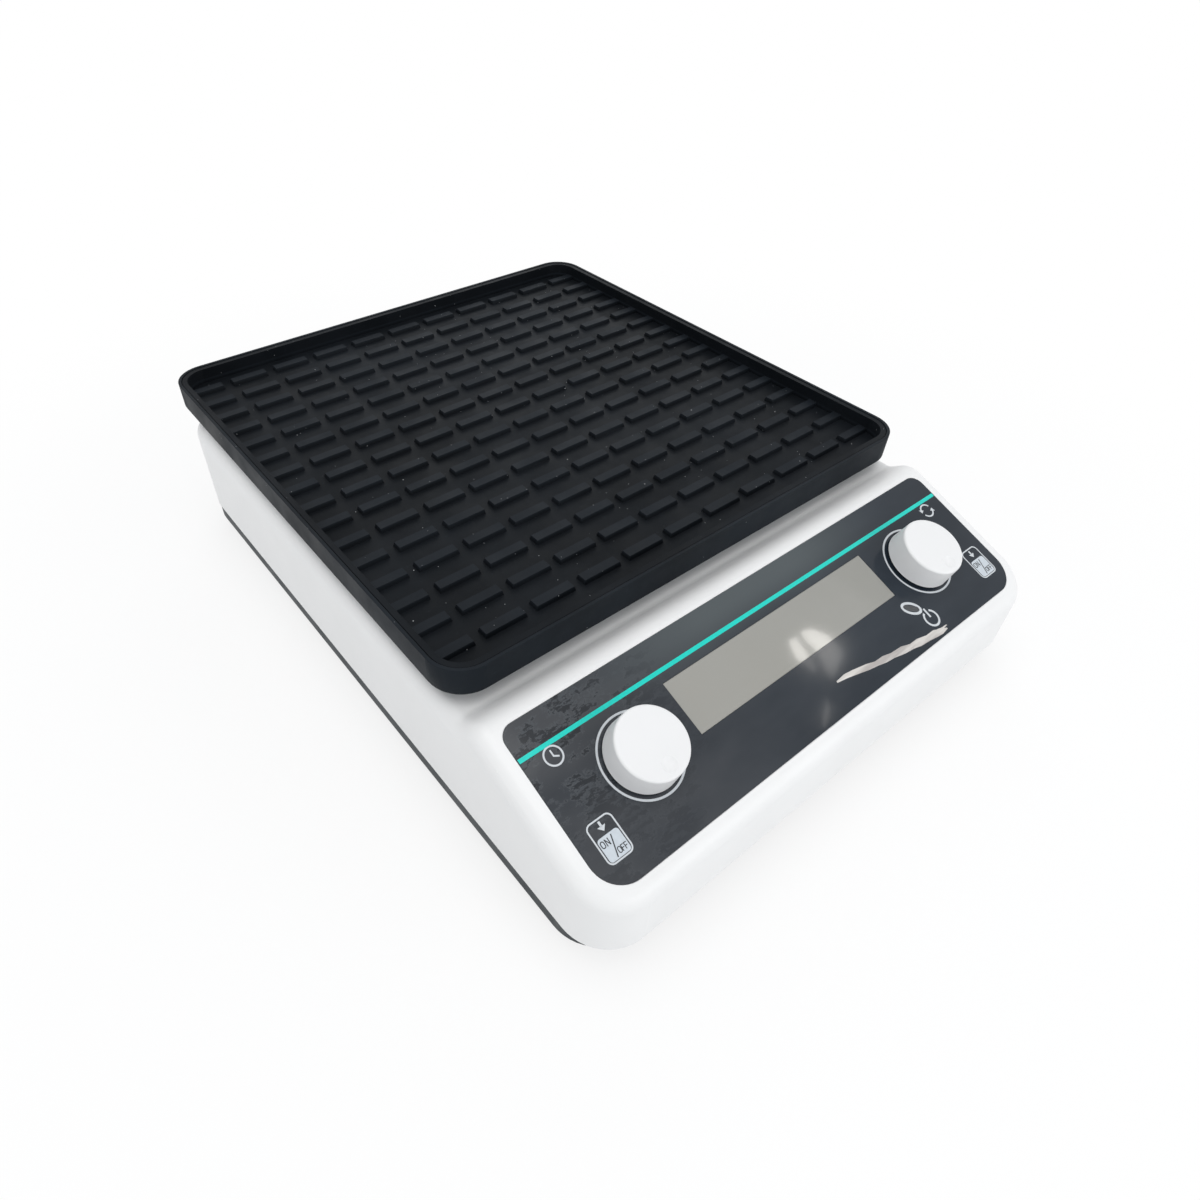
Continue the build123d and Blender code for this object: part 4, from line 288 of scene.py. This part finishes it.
def printed(name, colour, rough=0.35):
    """Screen-printed ink, a little uneven."""
    made = Shader(name, rough=rough, specular=0.4, coat=0.15, coat_rough=0.08)
    made.colour(made.mix(made.band(made.noise(700.0, 3.0), 0.3, 0.7), toned(colour, 0.93), colour))
    made.bump(made.noise(1500.0, 2.0), 0.1, 0.00001)
    return made.material


def frosted_lamp():
    """Dark lens of the unlit status lamp."""
    made = Shader("lamp_lens", rough=0.30, specular=0.5, coat=0.5)
    made.bsdf.inputs["Subsurface Weight"].default_value = 0.2
    made.bsdf.inputs["Subsurface Radius"].default_value = (0.001, 0.001, 0.001)
    made.colour(made.mix(made.noise(900.0), (0.020, 0.023, 0.028), (0.040, 0.045, 0.052)))
    made.bump(made.noise(1800.0), 0.2, 0.00002)
    return made.material


def crease_painted_highlight():
    """A fold in clear film, its pale streaky colour a painted highlight."""
    made = Shader("crease_painted_highlight", rough=0.16, specular=0.6, coat=0.5, coat_rough=0.05)
    streaks = made.noise(240.0, 4.0, 0.6, made.stretched((0.14, 1.0, 1.0)))
    # painted highlight: the fold is painted pale, standing in for light caught along it
    made.colour(made.mix(made.band(streaks, 0.36, 0.62), (0.40, 0.37, 0.355), (0.64, 0.61, 0.58)))
    made.bump(streaks, 0.3, 0.00008)
    return made.material


MAT_FLOOR = 3.0 * MM         # thickness of the mat between its ribs
mat_low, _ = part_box("rubber_mat")
# heights on the ribs that the mat's material paints paler, a painted highlight
RIB_TOPS = (mat_low.z + MAT_FLOOR + 0.5 * MM, mat_low.z + MAT_FLOOR + 1.8 * MM)

MATERIALS = {
    "casing_white": casing_white(),
    "knob_white": knob_white(),
    "base_grey": moulded("base_grey", (0.019, 0.027, 0.032), 0.46, spread=0.08, specular=0.22).material,
    "foot_rubber": rubber_black("foot_rubber", (0.016, 0.016, 0.018), 0.75, 300.0),
    "screw_steel": turned("screw_steel", (0.62, 0.62, 0.64), 0.28, (1.0, 1.0, 1.0)).material,
    "panel_film": panel_film(),
    "window_clear": display_glass(),
    "lamp_lens": frosted_lamp(),
    "lcd_grey": moulded("lcd_grey", (0.33, 0.325, 0.30), 0.4).material,
    "board_green": circuit_green(),
    "component_black": moulded("component_black", (0.022, 0.022, 0.024), 0.5).material,
    "encoder_zinc": turned("encoder_zinc", (0.58, 0.58, 0.56), 0.42).material,
    "nickel": turned("nickel", (0.70, 0.69, 0.66), 0.2, (1.0, 20.0, 1.0)).material,
    "transformer_tape": moulded("transformer_tape", (0.60, 0.43, 0.06), 0.3, grain=400.0).material,
    "capacitor_sleeve": moulded("capacitor_sleeve", (0.02, 0.03, 0.09), 0.25, grain=700.0).material,
    "fitting_black": moulded("fitting_black", (0.024, 0.024, 0.026), 0.42, spread=0.1).material,
    "rocker_black": moulded("rocker_black", (0.020, 0.020, 0.022), 0.22, grain=2400.0, spread=0.06).material,
    "plate_steel": turned("plate_steel", (0.55, 0.56, 0.57), 0.38, (30.0, 1.0, 1.0)).material,
    "cast_aluminium": turned("cast_aluminium", (0.66, 0.66, 0.67), 0.36, (1.0, 1.0, 12.0)).material,
    "bearing_steel": turned("bearing_steel", (0.62, 0.62, 0.63), 0.20).material,
    "motor_can": moulded("motor_can", (0.05, 0.05, 0.055), 0.36, grain=900.0, coat=0.3).material,
    "ground_steel": turned("ground_steel", (0.66, 0.66, 0.67), 0.16).material,
    "pulley_black": moulded("pulley_black", (0.03, 0.03, 0.032), 0.5).material,
    "belt_rubber": rubber_black("belt_rubber", (0.014, 0.014, 0.015), 0.7, 260.0),
    "counterweight_iron": turned("counterweight_iron", (0.13, 0.13, 0.135), 0.45, (1.0, 1.0, 1.0)).material,
    "tray_black": rubber_black("tray_black", (0.0090, 0.0118, 0.0154), 0.50, 240.0),
    "mat_black": rubber_black("mat_black", (0.0056, 0.0071, 0.0092), 0.54, 270.0, RIB_TOPS),
}
PRINT_WHITE = printed("print_white", (0.60, 0.63, 0.66))
PRINT_TEAL = printed("print_teal", (0.001, 0.62, 0.53), 0.30)
PRINT_PALE = printed("print_pale", (0.58, 0.63, 0.68))
# dark ink for the badge marks, and painted shade for the screws' driver recesses
PRINT_DARK_AND_RECESS_SHADE = printed("print_dark_and_recess_shade", (0.020, 0.022, 0.026))

for entry in frame["record"]["subparts"]:
    piece = nodes[entry["node"]]
    piece.data.materials.clear()
    piece.data.materials.append(MATERIALS[entry["material_slot"]])


# ---------------------------------------------------------------- softened edges of the CAD pieces
SHARP = radians(28.0)        # faces that meet at more than this form an edge to round
WELD_DISTANCE = 0.002 * MM


def soften(names, width, segments):
    """Round a CAD piece's sharp edges slightly; its own vertices stay as they are."""
    for name in names:
        weld = nodes[name].modifiers.new("weld", "WELD")
        weld.merge_threshold = WELD_DISTANCE
        bevel = nodes[name].modifiers.new("soft_edges", "BEVEL")
        bevel.width = width
        bevel.segments = segments
        bevel.limit_method = "ANGLE"
        bevel.angle_limit = SHARP
        bevel.use_clamp_overlap = True
        bevel.harden_normals = True


soften(["rubber_mat"], 0.0008, 4)
soften(["platform_tray"], 0.00035, 2)
soften(["base_pan", "rubber_feet", "switch_frame", "power_inlet", "power_rocker"], 0.0002, 2)
soften(["platform_hub", "idler_bosses", "drive_plate", "motor_body", "main_bearing_housing",
        "idler_bearing_blocks", "crank_shaft", "counterweight", "drive_pulley"], 0.0002, 1)


# ---------------------------------------------------------------- mesh helpers
def mesh_object(name, source, material):
    """Turn a bmesh into an object of the scene."""
    mesh = bpy.data.meshes.new(name)
    source.to_mesh(mesh)
    source.free()
    mesh.materials.append(material)
    made = bpy.data.objects.new(name, mesh)
    bpy.context.scene.collection.objects.link(made)
    return made


def piece_from(name, source, material, body):
    """Turn a bmesh into a piece that rides on a body."""
    bmesh.ops.recalc_face_normals(source, faces=source.faces)
    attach(mesh_object(name, source, material), body)


def raise_face(source, points, thickness, normal):
    """A flat prism on a closed outline of 3-D points."""
    low = [source.verts.new(point) for point in points]
    high = [source.verts.new(point + normal * thickness) for point in points]
    count = len(points)
    source.faces.new(low[::-1])
    source.faces.new(high)
    for index in range(count):
        after = (index + 1) % count
        source.faces.new((low[index], low[after], high[after], high[index]))


SHARPEST_MITRE = 0.4         # cosine at which a line's corner stops reaching further out


class Flat:
    """A drawing surface: flat shapes in millimetres, printed on a plane of the object."""

    def __init__(self, origin, right, up, lift=0.03, thickness=0.02):
        self.origin, self.right, self.up = Vector(origin), Vector(right), Vector(up)
        self.normal = self.right.cross(self.up)
        self.lift, self.thickness = lift, thickness

    def point(self, x, y):
        return self.origin + (self.right * x + self.up * y + self.normal * self.lift) * MM

    def patch(self, source, outline):
        raise_face(source, [self.point(x, y) for x, y in outline], self.thickness * MM, self.normal)

    def ribbon(self, source, path, width, closed=False):
        """A line of even width with mitred corners."""
        count = len(path)
        sides = []
        for index, (x, y) in enumerate(path):
            here = Vector((x, y))
            before = Vector(path[index - 1]) if (closed or index) else None
            after = Vector(path[(index + 1) % count]) if (closed or index < count - 1) else None
            came = (here - before).normalized() if before is not None else (after - here).normalized()
            goes = (after - here).normalized() if after is not None else came
            across = Vector((-(came.y + goes.y), came.x + goes.x)).normalized()
            reach = width / 2 / max(SHARPEST_MITRE, across.dot(Vector((-came.y, came.x))))
            sides.append((here + across * reach, here - across * reach))
        for index in range(count if closed else count - 1):
            (a, b), (c, d) = sides[index], sides[(index + 1) % count]
            self.patch(source, [tuple(a), tuple(b), tuple(d), tuple(c)])


def arc(x, y, radius, start, end, steps=48):
    return [(x + radius * cos(radians(start + (end - start) * step / steps)),
             y + radius * sin(radians(start + (end - start) * step / steps))) for step in range(steps + 1)]


def rounded(x, y, width, height, corner, steps=6):
    """Outline of a rectangle with round corners."""
    outline = []
    for across, along, start in ((1, 1, 0), (-1, 1, 90), (-1, -1, 180), (1, -1, 270)):
        outline += arc(x + across * (width / 2 - corner), y + along * (height / 2 - corner), corner,
                       start, start + 90, steps)
    return outline


# ---------------------------------------------------------------- print on the console
# places and sizes on the panel in millimetres: x to the right and y up the slope, from the film's middle
TILT = radians(20.2)
FILM_LIFT = 0.25             # from the middle of the film's box to its face
KNOBS = (-74.0, 74.0)
KNOB_Y = -0.75
KNOB_RING = 14.35
LINE_END, LINE_Y, LINE_WIDTH = 108.2, 17.6, 1.5
LAMP = (53.9, -13.95)
LAMP_OVAL = (4.0, 2.1)
LAMP_TURN = -38
POWER = (58.4, -21.0)
CLOCK = (-98.0, 13.6)
ARROWS = (98.6, 13.4)
ARROW_RING = 2.8
BADGES = (-98.5, 99.4)
BADGE_Y = -15.1

panel_right = Vector((1, 0, 0))
panel_up = Vector((0, cos(TILT), sin(TILT)))
panel_normal = panel_right.cross(panel_up)
panel_centre = (film_low + film_high) / 2 + panel_normal * FILM_LIFT * MM
panel = Flat(panel_centre, panel_right, panel_up)
panel_over = Flat(panel_centre, panel_right, panel_up, lift=0.055)


def slanted(outline, place, degrees):
    """An outline turned about its middle and moved to its place."""
    turn = radians(degrees)
    return [(place[0] + a * cos(turn) - b * sin(turn), place[1] + a * sin(turn) + b * cos(turn))
            for a, b in outline]


teal = bmesh.new()
panel.ribbon(teal, [(-LINE_END, LINE_Y), (LINE_END, LINE_Y)], LINE_WIDTH)
piece_from("accent_line", teal, PRINT_TEAL, "housing")

white = bmesh.new()
for x in KNOBS:
    panel.ribbon(white, arc(x, KNOB_Y, KNOB_RING, 0, 360, 96)[:-1], 0.75, closed=True)
# the lamp's slanted ring and the power sign beside it
oval = [(LAMP_OVAL[0] * cos(radians(turn)), LAMP_OVAL[1] * sin(radians(turn))) for turn in range(0, 360, 6)]
panel.ribbon(white, slanted(oval, LAMP, LAMP_TURN), 1.05, closed=True)
x, y = POWER
panel.ribbon(white, arc(x, y, 3.2, 118, 422, 40), 0.85)
panel.ribbon(white, [(x, y + 0.4), (x, y + 4.4)], 0.85)
# clock beside the time knob
x, y = CLOCK
panel.ribbon(white, arc(x, y, 3.1, 0, 360, 48)[:-1], 0.6, closed=True)
panel.ribbon(white, [(x, y + 2.0), (x, y - 0.1), (x + 1.6, y - 1.0)], 0.55)
# two turning arrows beside the speed knob, each an arc with a pointed head
for start in (25, 205):
    tip = start + 128
    panel.ribbon(white, arc(*ARROWS, ARROW_RING, start, tip, 24), 0.65)
    x, y = ARROWS[0] + ARROW_RING * cos(radians(tip)), ARROWS[1] + ARROW_RING * sin(radians(tip))
    panel.patch(white, [(x + reach * cos(radians(way)), y + reach * sin(radians(way)))
                        for reach, way in ((1.5, tip + 90), (1.15, tip + 180), (1.15, tip))])
for x in BADGES:
    panel.ribbon(white, rounded(x, BADGE_Y, 9.2, 12.8, 1.8), 0.5, closed=True)
    # a finger-press arrow in the badge's dark head
    panel.patch(white, [(x - 1.5, BADGE_Y + 4.2), (x + 1.5, BADGE_Y + 4.2), (x, BADGE_Y + 2.6)])
    panel.ribbon(white, [(x, BADGE_Y + 5.7), (x, BADGE_Y + 4.0)], 0.8)
piece_from("console_marks", white, PRINT_WHITE, "housing")

pale = bmesh.new()
for x in BADGES:
    panel.patch(pale, rounded(x, BADGE_Y - 2.2, 8.0, 7.5, 1.1))
piece_from("badge_fields", pale, PRINT_PALE, "housing")

LETTERS = {
    "O": [rounded(0, 0, 1.25, 2.1, 0.6)],
    "N": [[(-0.6, -1.2), (-0.6, 1.2)], [(-0.6, 1.1), (0.6, -1.1)], [(0.6, -1.2), (0.6, 1.2)]],
    "F": [[(-0.45, -1.2), (-0.45, 1.2)], [(-0.6, 1.05), (0.65, 1.05)], [(-0.45, 0.0), (0.5, 0.0)]],
}


def write(source, word, x, y, step, size):
    """Print a word whose first letter's middle lies at a place on the panel."""
    for letter in word:
        for line in LETTERS[letter]:
            panel_over.ribbon(source, [(x + a * size, y + b * size) for a, b in line], 0.32 * size,
                              closed=len(line) > 2)
        x += step


dark = bmesh.new()
for x in BADGES:
    panel_over.ribbon(dark, [(x - 1.1, BADGE_Y - 5.5), (x + 1.0, BADGE_Y + 0.9)], 0.38)
    write(dark, "ON", x - 2.9, BADGE_Y - 0.4, 1.7, 0.92)
    write(dark, "OFF", x + 0.62, BADGE_Y - 4.1, 1.2, 0.84)
piece_from("badge_marks", dark, PRINT_DARK_AND_RECESS_SHADE, "housing")

# ---------------------------------------------------------------- crease in the panel's protective sheet, a raised fold with a painted highlight
FOLD_HEIGHT = 0.16
CREASES = (                  # along the main fold and its forked end: x, y and the fold's width there
    ((3.4, -18.7, 0.6), (8.0, -19.1, 1.7), (12.2, -19.6, 2.0), (18.7, -21.2, 2.3), (22.5, -21.8, 1.8),
     (27.0, -22.6, 2.6), (31.0, -23.0, 2.1), (36.7, -24.0, 2.9), (41.0, -24.6, 2.1), (45.1, -25.3, 3.0),
     (50.0, -25.8, 2.3), (54.4, -26.4, 2.9), (57.5, -26.9, 2.0), (60.6, -27.4, 0.6)),
    ((54.0, -26.0, 0.6), (56.5, -26.1, 1.1), (58.8, -26.2, 0.8), (61.6, -26.3, 0.3)),
)


def fold(source, line):
    """A low ridge of folded sheet along places on the panel, each with the fold's width there."""
    rows = []
    for index, (x, y, width) in enumerate(line):
        before, after = line[max(0, index - 1)], line[min(len(line) - 1, index + 1)]
        along = Vector((after[0] - before[0], after[1] - before[1])).normalized()
        across = Vector((-along.y, along.x)) * width / 2
        jag = 0.14 if index % 2 else -0.10      # puts every second place a little out of line
        edge_up = panel.point(x + across.x, y + across.y + jag)
        ridge = panel.point(x + jag, y - jag / 2) + panel_normal * FOLD_HEIGHT * MM
        edge_low = panel.point(x - across.x, y - across.y + jag)
        rows.append([source.verts.new(place) for place in (edge_up, ridge, edge_low)])
    for first, second in zip(rows, rows[1:]):
        for low, high in ((0, 1), (1, 2), (2, 0)):
            source.faces.new((first[low], second[low], second[high], first[high]))
    source.faces.new(rows[0])
    source.faces.new(rows[-1][::-1])


crease = bmesh.new()
for line in CREASES:
    fold(crease, line)
piece_from("film_crease", crease, crease_painted_highlight(), "housing")

# ---------------------------------------------------------------- marks on the rear switch
ROCKER_TILT = radians(9.0)
ROCKER_PIVOT = Vector((-0.016, 0.145, 0.033))
ROCKER_HALF_LENGTH = 8.0
ROCKER_WAIST, ROCKER_HORN = 2.4, 3.6        # face to pivot, at its middle and at its ends
MARK_REACH = 5.2                            # from the rocker's middle to each mark
rocker_right = Vector((cos(ROCKER_TILT), sin(ROCKER_TILT), 0))
rocker_out = Vector((-sin(ROCKER_TILT), cos(ROCKER_TILT), 0))
marks = bmesh.new()
for across in (-MARK_REACH, MARK_REACH):
    slope = 2 * (ROCKER_HORN - ROCKER_WAIST) * across / ROCKER_HALF_LENGTH ** 2
    height = ROCKER_WAIST + (ROCKER_HORN - ROCKER_WAIST) * (across / ROCKER_HALF_LENGTH) ** 2
    face_right = (rocker_right * cos(slope) + rocker_out * sin(slope)).normalized()
    middle = ROCKER_PIVOT + (rocker_right * across + rocker_out * height) * MM
    face = Flat(middle, -face_right, (0, 0, 1), lift=0.06)
    if across < 0:
        face.ribbon(marks, [(0, -1.5), (0, 1.5)], 0.5)
    else:
        face.ribbon(marks, arc(0, 0, 1.4, 0, 360, 32)[:-1], 0.45, closed=True)
piece_from("rocker_marks", marks, PRINT_WHITE, "rocker")

# ---------------------------------------------------------------- painted shade in the driver recesses of the screws that show
SCREW_HEAD = 2.8 * MM        # radius of the screw heads
CASING_SCREW_ROWS = (-0.100, 0.025, 0.122)
recess = bmesh.new()


def cross(origin, right, up):
    """A dark cross painted on a screw's head, standing in for the shade inside its driver recess."""
    spot = Flat(origin, right, up, lift=0.01, thickness=0.01)
    long, short = 1.5, 0.28
    for x, y in ((long, short), (short, long)):
        spot.patch(recess, [(-x, -y), (x, -y), (x, y), (-x, y)])


def both_sides(low, high):
    return low.x + SCREW_HEAD, high.x - SCREW_HEAD


low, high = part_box("inlet_screws")
for x in both_sides(low, high):
    cross((x, high.y, (low.z + high.z) / 2), (-1, 0, 0), (0, 0, 1))
low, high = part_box("foot_screws")
for x in both_sides(low, high):
    for y in (low.y + SCREW_HEAD, high.y - SCREW_HEAD):
        cross((x, y, low.z), (1, 0, 0), (0, -1, 0))
low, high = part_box("casing_screws")
for x in both_sides(low, high):
    for y in CASING_SCREW_ROWS:
        cross((x, y, low.z), (1, 0, 0), (0, -1, 0))
# painted shade: flat dark crosses where the driver recesses would hold shade
piece_from("recess_painted_shade", recess, PRINT_DARK_AND_RECESS_SHADE, "housing")

# ---------------------------------------------------------------- floor, light and camera
def looked_at(tree):
    """One for the rays that look at, mirror or see through to the surroundings, nothing for light."""
    rays = tree.nodes.new("ShaderNodeLightPath")
    seen = rays.outputs["Is Camera Ray"]
    for ray in ("Is Glossy Ray", "Is Transmission Ray"):
        either = tree.nodes.new("ShaderNodeMath")
        either.operation = "MAXIMUM"
        tree.links.new(seen, either.inputs[0])
        tree.links.new(rays.outputs[ray], either.inputs[1])
        seen = either.outputs["Value"]
    return seen


def mixed(tree, factor, first, second):
    """A shader that goes from the first to the second as the factor goes from nothing to one."""
    blend = tree.nodes.new("ShaderNodeMixShader")
    for output, socket in ((factor, "Fac"), (first, 1), (second, 2)):
        tree.links.new(output, blend.inputs[socket])
    return blend.outputs["Shader"]


def glowing(tree, kind, colour, strength):
    made = tree.nodes.new(kind)
    made.inputs["Color"].default_value = (*colour, 1)
    made.inputs["Strength"].default_value = strength
    return made.outputs[0]


paper = Shader("studio_paper", rough=0.9, specular=0.1)
tint = paper.band(paper.noise(3.0, 2.0), 0.2, 0.8)
paper.colour(paper.mix(tint, (0.90, 0.90, 0.90), (0.93, 0.93, 0.93)))
distance = paper.node("ShaderNodeVectorMath", operation="LENGTH")
paper.join(paper.place, distance.inputs[0])
# the paper fades to plain white away from the object, and keeps its shadow beside it
fade = paper.times(looked_at(paper.tree), paper.band(distance.outputs["Value"], 0.16, 0.42, 0.78, 1.0))
white_paper = glowing(paper.tree, "ShaderNodeEmission", (1, 1, 1), 1.0)
from_above = mixed(paper.tree, fade, paper.bsdf.outputs["BSDF"], white_paper)
# seen from below the paper isn't there, so the underside shows
from_below = paper.node("ShaderNodeBsdfTransparent").outputs["BSDF"]
facing_away = paper.node("ShaderNodeNewGeometry").outputs["Backfacing"]
paper.join(mixed(paper.tree, facing_away, from_above, from_below),
           paper.tree.nodes["Material Output"].inputs["Surface"])
floor_mesh = bmesh.new()
bmesh.ops.create_grid(floor_mesh, x_segments=24, y_segments=24, size=4.0)
floor = mesh_object("studio_floor", floor_mesh, paper.material)

world = bpy.data.worlds.new("studio")
bpy.context.scene.world = world
world.use_nodes = True
tree = world.node_tree
tree.nodes.clear()
sky = glowing(tree, "ShaderNodeBackground", (0.96, 0.98, 1.0), 0.60)
backdrop = glowing(tree, "ShaderNodeBackground", (1, 1, 1), 1.0)
output = tree.nodes.new("ShaderNodeOutputWorld")
tree.links.new(mixed(tree, looked_at(tree), sky, backdrop), output.inputs["Surface"])


def area_light(name, place, target, size, power, colour=(1, 1, 1)):
    data = bpy.data.lights.new(name, "AREA")
    data.shape = "RECTANGLE"
    data.size, data.size_y = size
    data.energy = power
    data.color = colour
    lamp = bpy.data.objects.new(name, data)
    lamp.location = place
    lamp.rotation_euler = (Vector(target) - Vector(place)).to_track_quat("-Z", "Y").to_euler()
    bpy.context.scene.collection.objects.link(lamp)


area_light("key", (-0.25, -0.10, 1.35), (0.0, 0.0, 0.04), (1.1, 1.1), 6.6, (1.0, 0.995, 0.98))
area_light("back_sheen", (0.75, 1.00, 0.85), (0.0, 0.05, 0.05), (0.9, 0.7), 3.0, (0.93, 0.97, 1.0))
area_light("front_fill", (0.45, -1.30, 0.60), (0.0, -0.05, 0.03), (1.4, 0.8), 6.1, (0.97, 0.985, 1.0))
area_light("left_fill", (-1.20, -0.45, 0.60), (0.0, 0.0, 0.03), (1.0, 0.7), 1.4, (0.95, 0.98, 1.0))

CAMERA_AT = Vector((-0.1913, -0.2164, 0.2614))
AZIMUTH, ELEVATION, ROLL = radians(-39.42), radians(42.727), radians(1.345)
PICTURE = 1200               # width and height of the photograph's frame in pixels
FOCAL_PIXELS = 819.2
MIDDLE = (550.0, 578.2)      # pixel that the camera points at
SENSOR = 36.0
back = Vector((sin(AZIMUTH) * cos(ELEVATION), -cos(AZIMUTH) * cos(ELEVATION), sin(ELEVATION)))
right = (-back).cross(Vector((0, 0, 1))).normalized()
up = right.cross(-back)
right, up = right * cos(ROLL) + up * sin(ROLL), up * cos(ROLL) - right * sin(ROLL)
camera_data = bpy.data.cameras.new("camera")
camera_data.sensor_width = SENSOR
camera_data.sensor_fit = "HORIZONTAL"
camera_data.lens = FOCAL_PIXELS / PICTURE * SENSOR
camera_data.shift_x = (PICTURE / 2 - MIDDLE[0]) / PICTURE
camera_data.shift_y = (MIDDLE[1] - PICTURE / 2) / PICTURE
camera_data.clip_start = 0.01
camera = bpy.data.objects.new("camera", camera_data)
camera.matrix_world = Matrix.Translation(CAMERA_AT) @ Matrix((right, up, back)).transposed().to_4x4()
bpy.context.scene.collection.objects.link(camera)
bpy.context.scene.camera = camera
bpy.context.scene.view_settings.view_transform = "Standard"

# ---------------------------------------------------------------- soft lights that the glossy panel mirrors
# outlines of the mirrored lights, as they show on the panel
MIRRORED = {
    "mirrored_right": ((5.5, 2.5), (10.5, 1.0), (14.0, -4.0), (15.0, -9.5), (14.0, -12.5), (7.0, -15.5),
                       (3.0, -17.5), (3.0, -14.0), (4.5, -10.5), (5.5, -6.5), (5.0, -1.5)),
    "mirrored_left": ((-1.0, 2.0), (2.5, 1.5), (2.0, -3.0), (1.0, -8.0), (0.5, -11.0), (-1.0, -12.0),
                      (-2.5, -8.0), (-3.5, -3.5)),
    "mirrored_low": ((-4.5, -20.5), (-6.0, -24.0), (-10.5, -27.0), (-12.5, -28.0), (-14.0, -27.5),
                     (-10.0, -24.0)),
}
CARD_DISTANCE = 0.45
glow = bpy.data.materials.new("mirrored_light")
glow.use_nodes = True
glow.node_tree.nodes.clear()
glow_output = glow.node_tree.nodes.new("ShaderNodeOutputMaterial")
glow_light = glowing(glow.node_tree, "ShaderNodeEmission", (1.0, 0.97, 0.93), 11.0)
glow.node_tree.links.new(glow_light, glow_output.inputs["Surface"])
behind_panel = CAMERA_AT - panel_normal * (2 * (CAMERA_AT - panel_centre).dot(panel_normal))
for name, outline in MIRRORED.items():
    card = bmesh.new()
    corners = []
    for x, y in outline:
        spot = panel.point(x, y)
        corners.append(card.verts.new(spot + (spot - behind_panel).normalized() * CARD_DISTANCE))
    card.faces.new(corners)
    shade = mesh_object(name, card, glow)
    shade.visible_camera = shade.visible_diffuse = shade.visible_shadow = shade.visible_transmission = False
